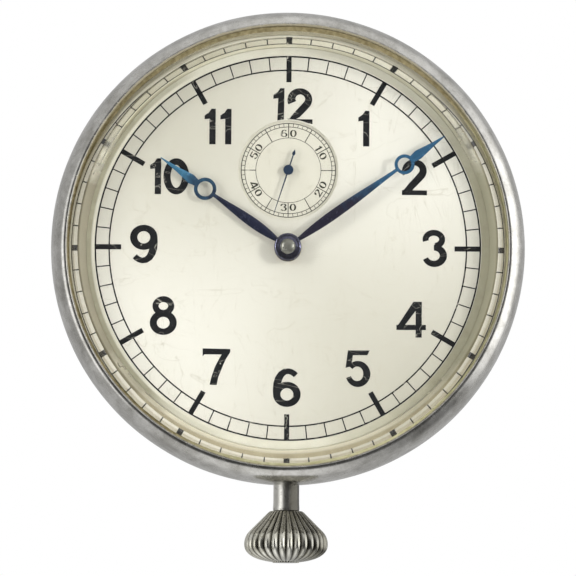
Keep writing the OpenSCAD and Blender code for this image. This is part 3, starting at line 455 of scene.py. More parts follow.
def lip_dirt(g, lip):
    """Where dirt lies along the bezel's lip, wider away from the top."""
    r, up, _ = g.around()
    reach = g.math("ADD", g.math("SUBTRACT", r, lip), g.wobble(g.noise(0.45, 6, 0.7), 0.6))
    reach = g.math("SUBTRACT", reach, g.grey(up, [(0.2, 0.0), (1.0, 0.3)]))
    return g.grey(reach, [(0.0, 0.85), (0.25, 0.0)])


def across(g, start, full, uneven):
    """From 0 at x = start to 1 at x = full, with an uneven border."""
    x, _, _ = g.axes()
    share = g.math("DIVIDE", g.math("SUBTRACT", x, start * MM), (full - start) * MM)
    return g.math("ADD", share, g.wobble(uneven, 0.6))


def metal(name, light, dark, rough, spread=0.08, grain=0.8, stretch=(1, 1, 1), stain=None,
          metallic=1.0, bump=0.25, stain_at=(0.62, 0.74), lip=None, fluted=False,
          shaded_side=None):
    """Worn metal: two tones of cloudiness, uneven gloss, fine scratches and stains.

    lip is the radius of a dirty lip, fluted darkens the crown's grooves with dirt and painted
    shade, and the shaded side, a painted shade on the right, runs from its first x to full at its
    second.
    """
    mat, g, bsdf = new_material(name)
    cloud = g.noise(0.22, 5, 0.62, warp=0.3)
    col = g.ramp(cloud, [(0.35, dark), (0.65, light)])
    fine = g.noise(grain, 6, 0.7, stretch)
    col = g.mix(0.35, col, g.ramp(fine, [(0.3, dark), (0.6, light)]))
    if stain:
        spots = g.grey(g.noise(0.9, 7, 0.72, warp=0.6), [(stain_at[0], 0.0), (stain_at[1], 0.85)])
        col = g.mix(spots, col, stain)
    if lip:
        dirty = lip_dirt(g, lip)
        col = g.mix(dirty, col, LIP_DIRT)
        g.link(g.math("SUBTRACT", 1.0, dirty), bsdf.inputs["Metallic"])
    if fluted:
        # Dirt and painted shade deep in the crown's grooves
        col = g.mix(g.grey(groove(g), [(0.45, 0.0), (0.95, 0.92)]), col, GROOVE_DIRT_AND_SHADE)
    # Painted shade on the right side of the tube and the crown
    if shaded_side:
        painted_dark_side = g.grey(across(g, *shaded_side, fine), [(0.0, 0.0), (1.0, 0.95)])
        col = g.mix(painted_dark_side, col, PAINTED_SIDE_SHADE)
    g.link(col, bsdf.inputs["Base Color"])
    g.gloss(bsdf, rough - spread, rough + spread, 0.5, 5, 0.65)
    bsdf.inputs["Metallic"].default_value = metallic
    g.bump(fine, bump, 0.02, bsdf)
    return mat


def plain(name, light, dark, rough, grain=1.2, spec=0.5):
    """Rubber, stone and the like: two tones and uneven gloss."""
    mat, g, bsdf = new_material(name)
    g.fill(bsdf, {"Base Color": g.cloud(dark, light, grain, 5), "Specular IOR Level": spec})
    g.gloss(bsdf, rough * 0.8, rough * 1.2, grain * 1.7, 4)
    return mat


def glass_material():
    """Clear glass; lamps and soft light pass it, as they do with real thin glass."""
    mat, g, bsdf = new_material("glass")
    g.fill(bsdf, {"Transmission Weight": 1.0, "IOR": 1.5})
    # A film of age on the bevel, darkened by a painted shade most to the left and above and least
    # below
    r, up, right = g.around()
    edge = g.grey(g.math("SUBTRACT", r, BEVEL_FILM_R), [(0.0, 0.0), (0.3, 1.0)])
    film = g.cloud((0.67, 0.63, 0.54), (0.76, 0.73, 0.64), 0.5, 5)
    # Painted shade on the film: darker to the left and above
    clear = g.math("ADD", 0.93, g.math("MULTIPLY", g.math("ABSOLUTE", right), -0.2))
    clear = g.math("ADD", clear, g.math("MULTIPLY", right, 0.125))
    clear = g.math("ADD", clear, g.math("MULTIPLY", up, -0.15))
    film = g.mix(clear, (0, 0, 0), film)
    smear = g.noise(0.12, 5, 0.6, warp=0.8)
    g.fill(bsdf, {"Base Color": g.mix(edge, (0.99, 0.99, 0.982), film),
                  "Roughness": g.grey(smear, [(0.4, 0.004), (0.8, 0.02)])})
    passing = g.add("ShaderNodeBsdfTransparent")
    g.fill(passing, {"Color": (0.975, 0.975, 0.96)})
    path = g.add("ShaderNodeLightPath")
    either = g.math("MAXIMUM", path.outputs["Is Shadow Ray"], path.outputs["Is Diffuse Ray"])
    g.surface(g.switch(either, bsdf, passing))
    return mat


# Painted sheen: the dial is painted lighter to the upper right and lower left, as light falls on a
# dial finished in circles; from dark to light
PAINTED_SHEEN = [(0.0, (0.50, 0.485, 0.41)), (0.5, (0.66, 0.645, 0.575)), (1.0, (0.84, 0.825, 0.765))]


def silvered(name, light, dark, turned=False):
    """Silvered brass under old lacquer: cream, brushed, with faint stains and hair scratches.

    turned adds a painted sheen, lighter to the upper right, the lower left and a little at both
    sides.
    """
    mat, g, bsdf = new_material(name)
    cloud = g.noise(0.035, 4, 0.55, warp=0.4)
    col = g.ramp(cloud, [(0.32, dark), (0.62, light)])
    grain = g.noise(2.2, 4, 0.7, (1.0, 1.0, 0.05))
    col = g.mix(0.10, col, g.ramp(grain, [(0.25, dark), (0.75, light)]))
    if turned:
        r, up, right = g.around()
        # Painted sheen, growing toward the rim
        sheen_lobe = g.math("MULTIPLY", right, g.math("ADD", up, g.math("MULTIPLY", right, 0.2)))
        sheen_lobe = g.math("MULTIPLY", sheen_lobe, g.math("DIVIDE", r, PAINTED_SHEEN_R))
        col = g.mix(0.75, col, g.ramp(g.math("ADD", sheen_lobe, 0.5), PAINTED_SHEEN))
    spots = g.grey(g.noise(0.5, 8, 0.75, warp=1.2), [(0.66, 0.0), (0.80, 0.5)])
    col = g.mix(spots, col, (0.52, 0.48, 0.38))
    specks = g.grey(g.noise(1.3, 6, 0.8, warp=0.3), [(0.715, 0.0), (0.735, 0.7)])
    col = g.mix(specks, col, (0.30, 0.25, 0.16))
    for scale, stretch, warp, depth in ((0.16, (1.0, 1.0, 0.22), 2.5, 0.45),
                                        (0.11, (0.5, 1.0, 1.1), 1.6, 0.4)):
        hair = g.grey(g.noise(scale, 3, 0.5, stretch, warp=warp),
                      [(0.494, 0.0), (0.5, depth), (0.506, 0.0)])
        col = g.mix(hair, col, (0.55, 0.52, 0.43))
    g.fill(bsdf, {"Base Color": col, "Metallic": 0.12, "Roughness": 0.38})
    g.bump(grain, 0.12, 0.01, bsdf)
    return mat


def wall_metal():
    """The polished wall round the dial, with painted light: painted bright above and below, a
    little painted shade low down, and painted shade at the sides, where its stains gather.
    """
    mat, g, bsdf = new_material("surround_silver")
    r, up, right = g.around()
    wob = g.wobble(g.noise(0.12, 5, 0.6), 0.7)
    # Painted shade at the sides, drawn back toward the top
    high = g.math("MULTIPLY", g.grey(up, [(0.2, 0.0), (0.45, 1.0)]), -0.28)
    side = g.math("ADD", g.math("ADD", g.math("ABSOLUTE", right), wob), high)
    side = g.grey(side, [(0.50, 0.0), (0.82, 1.0)])
    lit_tone = g.cloud((0.91, 0.88, 0.77), (0.96, 0.95, 0.88), 0.35, 5)
    # A little painted shade low on the wall below
    below = g.math("MULTIPLY", g.grey(g.math("MULTIPLY", up, -1.0), [(0.3, 0.0), (0.8, 1.0)]),
                   g.grey(g.math("SUBTRACT", r, WALL_FOOT_R + 0.05), [(0.0, 0.0), (0.3, 1.0)]))
    lit_tone = g.mix(below, lit_tone, (0.72, 0.675, 0.55))
    # The painted side shade's colour, darker on the left
    shaded_tone = g.ramp(g.math("ADD", g.math("MULTIPLY", right, 0.5), 0.5),
                     [(0.15, (0.31, 0.285, 0.215)), (0.85, (0.38, 0.365, 0.27))])
    col = g.mix(side, lit_tone, shaded_tone)
    spots = g.grey(g.noise(0.8, 7, 0.75, warp=0.6), [(0.60, 0.0), (0.72, 0.8)])
    col = g.mix(g.math("MULTIPLY", spots, g.math("MAXIMUM", side, 0.25)), col,
                (0.30, 0.25, 0.15))
    dull = g.math("MAXIMUM", side, below)
    g.fill(bsdf, {"Base Color": col, "Roughness": g.grey(dull, [(0.0, 0.07), (1.0, 0.42)]),
                  "Metallic": g.grey(dull, [(0.0, 1.0), (1.0, 0.3)])})
    return mat


def dirt_material():
    """Brown above and on the left, going over to a pale olive on the right and below."""
    mat, g, bsdf = new_material("edge_dirt")
    _, up, right = g.around()
    brown = g.ramp(g.noise(1.2, 6, 0.7),
                   [(0.3, (0.10, 0.08, 0.035)), (0.65, (0.26, 0.22, 0.12))])
    pale = g.cloud((0.36, 0.34, 0.19), (0.50, 0.48, 0.31), 0.7, 5)
    # Paler toward the right and below
    worn = g.math("SUBTRACT", g.math("MULTIPLY", right, 0.6), g.math("MULTIPLY", up, 0.5))
    col = g.mix(g.grey(worn, [(0.1, 0.0), (0.4, 1.0)]), brown, pale)
    g.fill(bsdf, {"Base Color": col, "Specular IOR Level": 0.2})
    g.gloss(bsdf, 0.65, 0.9, 1.5, 4)
    return mat


def flange_metal():
    """The wall's foot: cream as the dial, with painted shade in taupe to the right and at its left
    outer edge.
    """
    mat, g, bsdf = new_material("flange_silver")
    r, up, right = g.around()
    wob = g.wobble(g.noise(0.15, 5, 0.6), 0.5)
    # Painted shade: taupe to the right, less toward the top, and at the left outer edge
    shade = g.grey(g.math("ADD", right, wob), [(0.15, 0.0), (0.70, 1.0)])
    shade = g.math("MULTIPLY", shade, g.grey(up, [(0.3, 1.0), (0.9, 0.3)]))
    left = g.grey(g.math("SUBTRACT", wob, right), [(0.35, 0.0), (0.75, 1.0)])
    outer = g.grey(g.math("SUBTRACT", r, WALL_FOOT_R - 1), [(0.0, 0.0), (0.3, 1.0)])
    shade = g.math("MAXIMUM", shade, g.math("MULTIPLY", left, outer))
    lit_tone = g.cloud((0.70, 0.68, 0.57), (0.78, 0.765, 0.66), 0.3, 5)
    taupe = g.cloud((0.36, 0.34, 0.245), (0.43, 0.415, 0.305), 0.9, 6, 0.7)
    g.fill(bsdf, {"Base Color": g.mix(shade, lit_tone, taupe), "Metallic": 0.1})
    g.gloss(bsdf, 0.38, 0.5, 0.5, 5)
    return mat


def ink(name, light, dark, chip=0.655):
    """Print with scratches and small chips, fewer with a higher chip."""
    mat, g, bsdf = new_material(name)
    tone = g.cloud(dark, light, 0.8, 4)
    chips = g.grey(g.noise(1.0, 8, 0.75, warp=0.6), [(chip, 0.0), (chip + 0.025, 1.0)])
    scratch = g.grey(g.noise(0.13, 3, 0.5, (0.6, 1.0, 1.2), warp=1.8),
                     [(0.495, 0.0), (0.5, 0.55), (0.505, 0.0)])
    col = g.mix(g.math("MAXIMUM", chips, scratch), tone, (0.62, 0.60, 0.52))
    g.fill(bsdf, {"Base Color": col, "Roughness": 0.55, "Specular IOR Level": 0.1})
    return mat


def blued(name, near, far, turn_at, rough=0.22, metallic=0.4):
    """Blued steel, of colour near up to turn_at, as a share of the case's radius, then far."""
    mat, g, bsdf = new_material(name)
    r, _, _ = g.around()
    way = g.math("DIVIDE", g.math("ADD", r, g.wobble(g.noise(0.35, 4), 12.0)), CASE_R)
    col = g.ramp(way, [(turn_at - 0.10, near), (turn_at + 0.10, far)])
    speck = g.grey(g.noise(2.4, 7, 0.75), [(0.68, 0.0), (0.76, 0.6)])
    g.fill(bsdf, {"Base Color": g.mix(speck, col, (0.05, 0.05, 0.06)), "Metallic": metallic})
    g.gloss(bsdf, rough - 0.05, rough + 0.08, 0.9, 4)
    return mat


M = {
    "bezel": metal("bezel_nickel", (0.66, 0.65, 0.62), (0.34, 0.33, 0.30), 0.24, 0.09,
                   stain=(0.20, 0.18, 0.15), lip=LIP_R, bump=0.4),
    "case": metal("case_nickel", (0.64, 0.62, 0.58), (0.48, 0.46, 0.42), 0.34, 0.08,
                  stain=(0.18, 0.16, 0.12)),
    # The tube and the crown carry a painted shade on their right sides
    "tube": metal("tube_nickel", (0.80, 0.79, 0.74), (0.58, 0.57, 0.52), 0.30, 0.06,
                  stain=(0.10, 0.09, 0.07), stain_at=(0.56, 0.70), shaded_side=(-0.4, 0.7)),
    "crown": metal("crown_nickel", (0.85, 0.84, 0.77), (0.56, 0.54, 0.43), 0.25, 0.06,
                   stain=(0.20, 0.185, 0.11), stain_at=(0.54, 0.70), fluted=True,
                   shaded_side=(-1.5, 8.5)),
    "surround": wall_metal(),
    "flange": flange_metal(),
    "dirt": dirt_material(),
    "gasket": plain("gasket", (0.05, 0.045, 0.035), (0.025, 0.02, 0.015), 0.8),
    "glass": glass_material(),
    "dial": silvered("dial_silver", (0.79, 0.77, 0.68), (0.73, 0.71, 0.61), turned=True),
    "subdial": silvered("subdial_silver", (0.73, 0.71, 0.62), (0.66, 0.64, 0.55)),
    "ink": ink("dial_ink", (0.014, 0.0145, 0.016), (0.007, 0.0075, 0.009)),
    "seconds_ink": ink("seconds_ink", (0.055, 0.053, 0.040), (0.030, 0.030, 0.024), 0.72),
    "hour": blued("hour_blue", (0.018, 0.022, 0.050), (0.06, 0.20, 0.34), 0.46),
    "minute": blued("minute_blue", (0.022, 0.020, 0.040), (0.038, 0.13, 0.25), 0.41),
    "seconds": blued("seconds_blue", (0.022, 0.042, 0.085), (0.02, 0.04, 0.08), 0.5, 0.3),
    "collet": blued("collet_blue", (0.11, 0.11, 0.16), (0.11, 0.11, 0.16), 0.5, 0.15, 1.0),
    "cap": metal("cap_steel", (0.26, 0.26, 0.235), (0.15, 0.15, 0.125), 0.24, 0.06,
                 stain=(0.10, 0.08, 0.05), metallic=0.6),
    "gilt": metal("gilt", (0.78, 0.56, 0.25), (0.62, 0.42, 0.17), 0.30, 0.06, grain=2.0),
    "bridge": metal("bridge_nickel", (0.62, 0.58, 0.50), (0.48, 0.44, 0.37), 0.28, 0.05,
                    grain=1.2, stretch=(0.08, 1, 1)),
    "brass": metal("wheel_brass", (0.72, 0.52, 0.20), (0.56, 0.38, 0.13), 0.26, 0.05, grain=2.0),
    "ring": metal("ring_brass", (0.55, 0.40, 0.17), (0.36, 0.26, 0.10), 0.42, 0.08),
    "steel": metal("steel", (0.45, 0.45, 0.46), (0.30, 0.30, 0.31), 0.24, 0.06, grain=2.0),
    "screw": metal("screw_blue", (0.05, 0.09, 0.28), (0.03, 0.04, 0.15), 0.2, 0.05, grain=2.0),
    "spring": metal("spring_blue", (0.06, 0.10, 0.26), (0.03, 0.05, 0.15), 0.25, 0.05,
                    grain=2.0),
    "ruby": plain("ruby", (0.45, 0.02, 0.06), (0.28, 0.01, 0.03), 0.1, 2.0, 0.6),
}
# Nodes that keep their CAD shape, by material
LOOK = {
    "case": "case_band pendant_tube case_screws back_cover",
    "ring": "movement_ring",
    "gasket": "glass_gasket",
    "gilt": "main_plate stem_block barrel_drum barrel_lid balance_wheel cannon_pinion dial_feet",
    "bridge": "barrel_bridge train_bridge pallet_bridge balance_cock",
    "brass": "centre_wheel third_wheel fourth_wheel intermediate_wheel minute_wheel hour_wheel "
             "transfer_wheel setting_wheel",
    "steel": "wheel_posts banking_pins regulator hair_stud click click_spring crown_wheel_core "
             "winding_pinion winding_stem sliding_clutch setting_lever yoke crown_wheel "
             "ratchet_wheel barrel_arbor escape_wheel pallet_fork balance_staff",
    "screw": "bridge_screws ratchet_screw",
    "spring": "mainspring hairspring",
    "ruby": "jewels pallet_stones",
}
for look, names in LOOK.items():
    for name in names.split():
        mesh = NODES[name].data
        mesh.materials.clear()
        mesh.materials.append(M[look])


# Case front

def uneven(a, r, y):
    """A few hundredths of a millimetre of wear round the flank."""
    if r < CASE_R - 1:
        return 0.0
    return 0.014 * math.sin(7 * a + 1.3) + 0.008 * math.sin(17 * a + 0.4 * y) - 0.024


def bezel_profile():
    """From the lip over the rounded crest and down the flank to the seat of the glass."""
    lip, drop, foot, step = 0.3, 7.0, 0.25, CREST_Y + 4
    return ([(LIP_R, GLASS_EDGE_Y), (LIP_R, CREST_Y + 0.36)]
            + arc(LIP_R + lip, CREST_Y + 0.33, lip, lip, 180, 270, 5)[1:-1]
            + arc(LIP_R + lip, CREST_Y + drop, CASE_R - LIP_R - lip, drop, -90, 0, 40)
            + [(CASE_R, BEZEL_BACK - foot), (CASE_R - 0.06, BEZEL_BACK - 0.08),
               (CASE_R - foot, BEZEL_BACK), (NECK_R, BEZEL_BACK), (NECK_R, step),
               (INNER_R - 0.25, step), (INNER_R - 0.25, GLASS_EDGE_Y)])


make("bezel_worn", *lathe(bezel_profile(), FINE_SIDES, ripple=uneven), "case", M["bezel"],
     node="bezel", slot="bezel_nickel", smooth=38)


def bevel(a):
    """Width and depth of the glass's bevel: steep at the sides and below, slight above."""
    wide, deep = 1.5, 2.25
    up = math.sin(a) ** 2
    if math.sin(a) > 0:
        return wide + 0.3 * up, deep - 1.1 * up
    return wide - 0.65 * up, deep - 0.85 * up


def bevelled_glass():
    """A disc of five rings of points, of which the last two follow the bevel round the rim."""
    verts, faces = disc_lathe(
        [(0, GLASS_Y), (GLASS_R, GLASS_Y), (GLASS_R, GLASS_EDGE_Y), (BEVEL_R, GLASS_EDGE_Y),
         (BEVEL_R, GLASS_FRONT_Y), (BEVEL_R, GLASS_FRONT_Y), (0, GLASS_FRONT_Y)], FINE_SIDES)
    for i in range(FINE_SIDES):
        a = 2 * math.pi * i / FINE_SIDES
        wide, deep = bevel(a)
        for j, r, y in ((3, BEVEL_R, GLASS_FRONT_Y + deep), (4, BEVEL_R - wide, GLASS_FRONT_Y)):
            verts[5 * i + j] = (r * math.cos(a), y, r * math.sin(a))
    return verts, faces


def dirt_ring():
    """Old dirt along the glass's edge, widest at the top."""
    verts, faces = lathe([(BEVEL_R, GLASS_FRONT_Y)] * 5, FINE_SIDES)
    for i in range(FINE_SIDES):
        a = 2 * math.pi * i / FINE_SIDES
        wide, deep = bevel(a)
        up = math.sin(a)
        band = 0.07 + (0.63 * up ** 1.5 if up > 0 else 0.08 * up * up)
        band += 0.03 * math.sin(13 * a) + 0.02 * math.sin(31 * a + 1)
        foot = GLASS_FRONT_Y + deep
        outer = max(foot - 0.06, CREST_Y + 0.34)
        for j, (r, y) in enumerate((
                (BEVEL_R - band, foot - deep * band / wide - 0.01),
                (BEVEL_R, foot - 0.03), (LIP_R - 0.01, outer), (LIP_R - 0.01, outer + 0.05),
                (BEVEL_R + 0.01, foot))):
            verts[5 * i + j] = (r * math.cos(a), y, r * math.sin(a))
    return verts, faces


def seat_cone():
    """The ring that the glass sits on, whose wall opens out from the dial."""
    top, back = GLASS_Y + 0.08, DIAL_Y + 0.5
    return lathe([(WALL_FOOT_R, back), (WALL_FOOT_R, DIAL_Y), (WALL_TOP_R, top),
                  (GLASS_R, top), (GLASS_R, top + 0.9), (WALL_FOOT_R + 0.7, back)], FINE_SIDES)


def seat_flange():
    """The thin foot of the wall, a sheet over the dial's margin that carries its painted shade."""
    thick = 0.04
    return lathe([(MARGIN_R, DIAL_Y), (MARGIN_R + thick, DIAL_Y - thick),
                  (DIAL_R, DIAL_Y - thick), (DIAL_R, DIAL_Y)])


make("glass_bevelled", *bevelled_glass(), "case", M["glass"], node="crystal", slot="glass",
     smooth=20)
make("seat_cone", *seat_cone(), "case", M["surround"], node="dial_surround", slot="surround",
     smooth=25)
make("seat_flange", *seat_flange(), "case", M["flange"], slot="surround", smooth=25)
make("glass_dirt", *dirt_ring(), "case", M["dirt"], slot="bezel_nickel", smooth=25)


# Dial

def sheet_with_holes(name, outer, holes, y0, y1, mat, node):
    """A thin round plate of the dial with round holes: outer and holes are (x, z, radius)."""
    bm = bmesh.new()
    rings = []
    for cx, cz, r in (outer, *holes):
        n = 192 if r > 5 else 64
        vs = [bm.verts.new(((cx + r * math.cos(2 * math.pi * i / n)) * MM, y0 * MM,
                            (cz + r * math.sin(2 * math.pi * i / n)) * MM)) for i in range(n)]
        rings += [bm.edges.new((vs[i], vs[(i + 1) % n])) for i in range(n)]
    bmesh.ops.triangle_fill(bm, use_beauty=True, edges=rings)
    out = bmesh.ops.extrude_face_region(bm, geom=bm.faces[:])
    for v in out["geom"]:
        if isinstance(v, bmesh.types.BMVert):
            v.co.y = y1 * MM
    piece(name, bm, "case", mat, node)


sheet_with_holes("dial_plate", (0, 0, DIAL_R), [(*SUB, WELL_R), (0, 0, DIAL_HOLE_R)],
                 DIAL_Y, DIAL_Y + DIAL_T, M["dial"], "dial")
sheet_with_holes("seconds_plate", (*SUB, SECONDS_PLATE_R), [(*SUB, SECONDS_HOLE_R)],
                 WELL_Y, WELL_Y + SECONDS_PLATE_T, M["subdial"], "seconds_dial")

TRACK_OUT, TRACK_IN, HOUR_MARK_IN = 32.45, 30.12, 28.1
track = Print(DIAL_Y)
track.ring((0, 0), TRACK_OUT, 0.26, FINE_SIDES)
track.ring((0, 0), TRACK_IN, 0.24, FINE_SIDES)
for minute in range(60):
    if minute % 5:
        track.spoke((0, 0), 6 * minute, TRACK_IN - 0.02, TRACK_OUT, 0.19)
    else:
        track.spoke((0, 0), 6 * minute, HOUR_MARK_IN, TRACK_OUT + 0.05, 0.86)
track.finish("minute_track", "case", M["ink"], "dial_silver")

# Middle of each hour's numeral, heights that differ, and x of the digits where there are two
HOURS = {12: (0.0, 24.05), 1: (12.7, 20.3), 2: (21.3, 12.1), 3: (24.7, 0.1),
         4: (20.85, -12.0), 5: (11.85, -20.3), 6: (0.0, -23.6), 7: (-11.9, -20.15),
         8: (-20.9, -11.55), 9: (-24.3, 0.5), 10: (-20.0, 12.0), 11: (-12.0, 20.5)}
HEIGHTS = {6: 6.5, 8: 6.5, 9: 6.5, 3: 6.2, 5: 6.1, 7: 6.15}
PAIRS = {10: (-22.4, -18.9), 11: (-13.26, -10.6), 12: (-1.67, 1.90)}
numerals = Print(DIAL_Y)
for hour, (x, z) in HOURS.items():
    height = HEIGHTS.get(hour, 6.05)
    for digit, place in zip(divmod(hour, 10), PAIRS[hour]) if hour in PAIRS else ((hour, x),):
        numerals.digit(digit, (place, z), height)
numerals.push_out(SUB, WELL_CLEAR_R)
numerals.finish("hour_numerals", "case", M["ink"], "dial_silver")

SMALL_OUT, SMALL_IN, SMALL_MARK_IN, SMALL_DIGIT_R = 7.96, 7.36, 5.5, 6.27
small = Print(WELL_Y, 0.015)
for r, w in ((SMALL_OUT, 0.13), (SMALL_IN, 0.11), (SMALL_MARK_IN, 0.09)):
    small.ring(SUB, r, w, 160)
for second in range(60):
    if second % 5:
        small.spoke(SUB, 6 * second, SMALL_IN, SMALL_OUT, 0.09)
    else:
        small.spoke(SUB, 6 * second, SMALL_MARK_IN, SMALL_OUT, 0.14)
for ten in range(6):
    a = math.radians(90 - 60 * ten)
    turn = 60 * ten - (180 if 2 <= ten <= 4 else 0)
    slope = math.radians(-turn)
    for along, digit in ((-0.76, ten or 6), (0.8, 0)):
        x = SUB[0] + SMALL_DIGIT_R * math.cos(a) + along * math.cos(slope)
        z = SUB[1] + SMALL_DIGIT_R * math.sin(a) + along * math.sin(slope)
        small.digit(digit, (x, z), 1.3, turn, book=True)
small.finish("seconds_track", "case", M["seconds_ink"], "dial_silver")


# Hands

# Fronts of the hands, and where the seconds hand lies
HOUR_Y, MINUTE_Y, SECONDS_Y = -10.65, -11.65, -9.75
HAND_T = 0.25


def prism(outline, y_front, y_back, chamfer):
    """A slab from an outline [(across, along)] with its front edges chamfered."""
    n = len(outline)
    pts = np.array(outline, float)
    t = np.roll(pts, -1, 0) - np.roll(pts, 1, 0)
    t /= np.maximum(np.linalg.norm(t, axis=1), 1e-9)[:, None]
    inward = np.stack([-t[:, 1], t[:, 0]], 1)
    twice_area = np.sum(pts[:, 0] * np.roll(pts[:, 1], -1) - np.roll(pts[:, 0], -1) * pts[:, 1])
    inward *= 1 if twice_area > 0 else -1
    inset = pts + inward * chamfer
    rings = [(pts, y_back), (pts, y_front + chamfer), (inset, y_front)]
    verts = [(p[0], y, p[1]) for ring, y in rings for p in ring]
    faces = [tuple(range(n)), tuple(range(3 * n - 1, 2 * n - 1, -1))]
    for k in range(2):
        for i in range(n):
            j = (i + 1) % n
            faces.append((k * n + i, k * n + j, (k + 1) * n + j, (k + 1) * n + i))
    return verts, faces


def ring_solid(c, r_out, r_in, y_front, y_back, bevel, steps=64):
    """A flat ring with bevelled edges, about a point c = (across, along)."""
    prof = [(r_in, y_back), (r_out, y_back), (r_out, y_front + bevel), (r_out - bevel, y_front),
            (r_in + bevel, y_front), (r_in, y_front + bevel)]
    verts, faces = lathe(prof, steps)
    return [(x + c[0], y, z + c[1]) for x, y, z in verts], faces


def leaf(start, end, neck, width, n=24):
    """(half width, along) of the leaf between boss and ring, widest nearer the boss."""
    out = []
    for i in range(n + 1):
        t = i / n
        half = neck / 2 + (width - neck) / 2 * math.sin(math.pi * t ** 0.72) ** 1.3
        out.append((half, start + (end - start) * t))
    return out


def ridged(profile, y_front, y_back, ridge):
    """A leaf or spear with a low ridge along its middle, from [(half width, along)]."""
    verts, faces = [], []
    section = ((-1, y_back), (-1, y_front + ridge), (-0.45, y_front + 0.25 * ridge),
               (0, y_front), (0.45, y_front + 0.25 * ridge), (1, y_front + ridge), (1, y_back))
    for half, v in profile:
        verts += [(half * share, y, v) for share, y in section]
    m = len(section)
    for i in range(len(profile) - 1):
        for j in range(m):
            k = (j + 1) % m
            faces.append((i * m + j, (i + 1) * m + j, (i + 1) * m + k, i * m + k))
    faces.append(tuple(range(m)))
    faces.append(tuple(range(len(verts) - 1, len(verts) - m - 1, -1)))
    return verts, faces


def merged(parts):
    """Several (points, faces) as one."""
    verts, faces = [], []
    for v, f in parts:
        b = len(verts)
        verts += v
        faces += [tuple(b + i for i in face) for face in f]
    return verts, faces


def turned(verts, deg, centre=(0.0, 0.0)):
    """Points drawn upright, turned clockwise by deg about the centre."""
    a = math.radians(-deg)
    c, s = math.cos(a), math.sin(a)
    return [(centre[0] + x * c - z * s, y, centre[1] + x * s + z * c) for x, y, z in verts]


def hand(name, deg, y_front, length, back, ring_r, hole_r, leaf_w, neck, boss_r, bore, body, mat,
         node):
    """A hand of boss, leaf, ring and spear; the ring's middle lies back from the tip."""
    ring_at = length - back
    y_back = y_front + HAND_T
    foot = ring_at + hole_r + 0.08
    spear = [(half, foot + up) for half, up in (
        (0.50, 0.0), (0.62, 0.5), (0.80, 1.35), (0.82, 1.6), (0.76, 2.0), (0.42, 4.2))]
    verts, faces = merged([
        ring_solid((0, 0), boss_r, bore, y_front, y_back, 0.05),
        ridged(leaf(boss_r * 0.86, ring_at - ring_r + 0.12, neck, leaf_w), y_front, y_back, 0.12),
        ring_solid((0, ring_at), ring_r, hole_r, y_front, y_back, 0.07),
        ridged(spear + [(0.07, length)], y_front, y_back, 0.10)])
    make(name, turned(verts, deg), faces, body, mat, node=node, slot="hand_blue", smooth=22)


hand("hour_hand_blued", 305, HOUR_Y, length=26.3, back=9.2, ring_r=1.9, hole_r=1.28, leaf_w=1.7,
     neck=0.6, boss_r=2.28, bore=1.77, body="hour", mat=M["hour"], node="hour_hand")
hand("minute_hand_blued", 54.3, MINUTE_Y, length=32.4, back=8.3, ring_r=1.69, hole_r=1.14,
     leaf_w=1.65, neck=0.55, boss_r=2.2, bore=1.12, body="centre", mat=M["minute"],
     node="minute_hand")

COLLET_R, COLLET_BORE, CAP_R = 2.3, 0.9, 1.3
make("collet_polished", *lathe(
    [(COLLET_BORE, MINUTE_Y), (COLLET_R, MINUTE_Y)]
    + arc(COLLET_R - 0.42, MINUTE_Y - 0.2, 0.42, 0.30, 0, -90, 8)
    + [(1.72, MINUTE_Y - 0.51), (1.32, MINUTE_Y - 0.73), (COLLET_BORE, MINUTE_Y - 0.73)], 96),
    "centre", M["collet"], node="hand_collet", slot="hand_blue", smooth=30)
CAP_BACK, CAP_EDGE, CAP_FRONT = -12.15, -12.42, -13.05
make("cap_domed", *disc_lathe(
    [(0, CAP_BACK), (CAP_R, CAP_BACK), (CAP_R, CAP_EDGE)]
    + arc(0, CAP_EDGE, CAP_R - 0.01, CAP_EDGE - CAP_FRONT, 0, -84, 14)
    + [(0, CAP_FRONT)], 96), "centre", M["cap"], node="hand_cap", slot="cap_steel", smooth=40)


def seconds_hand():
    """A thin blade, a small spear for its tail, a hub and the pipe behind it."""
    back = SECONDS_Y + 0.15
    blade = [(-0.05, 7.86), (-0.13, 0.0), (-0.1, -2.7), (0.1, -2.7), (0.13, 0.0), (0.05, 7.86)]
    tail = [(0.0, -3.67), (0.28, -2.98), (0.24, -2.72), (0.1, -2.6), (-0.1, -2.6),
            (-0.24, -2.72), (-0.28, -2.98)]
    hub = [(0, back), (0.85, back), (0.85, back - 0.24), (0.77, back - 0.33),
           (0.2, back - 0.35), (0, back - 0.35)]
    return merged([prism(blade, SECONDS_Y, back, 0.02), prism(tail, SECONDS_Y, back, 0.04),
                   disc_lathe(hub, 48), ring_solid((0, 0), 0.5, 0.36, back, back + 0.5, 0.01, 32)])


verts, faces = seconds_hand()
make("seconds_hand_blued", turned(verts, 197.9, SUB), faces, "fourth", M["seconds"],
     node="seconds_hand", slot="hand_blue", smooth=30)


# Crown and tube

# The crown widens from its top to a bulge, whose middle ring has radius BULGE_OUT
CROWN_TOP = -44.14
TOP_R, BORE_R, FOOT_R = 2.8, 1.5, 2.25
BULGE_OUT, BULGE_R = 4.0, 3.1
CROWN_R = BULGE_OUT + BULGE_R
BULGE_Z = CROWN_TOP - (BULGE_OUT + BULGE_R * math.sqrt(2) - TOP_R)
CROWN_FOOT = BULGE_Z - BULGE_R
FLUTE_DEPTH = 0.42
CROWN_SIDES = FLUTES * 14


def upright_lathe(rings, steps):
    """Turned about the stem: rings are (radius, z, groove depth)."""
    verts, faces = [], []
    for r, z, d in rings:
        for i in range(steps):
            a = 2 * math.pi * i / steps
            wave = 0.5 - 0.5 * math.cos(FLUTES * a)
            k = r - d * (1 - wave ** 0.55)
            verts.append((k * math.cos(a), STEM_Y + k * math.sin(a), z))
    for j in range(len(rings) - 1):
        b, c = j * steps, (j + 1) * steps
        for i in range(steps):
            k = (i + 1) % steps
            faces.append((b + i, b + k, c + k, c + i))
    return verts, faces


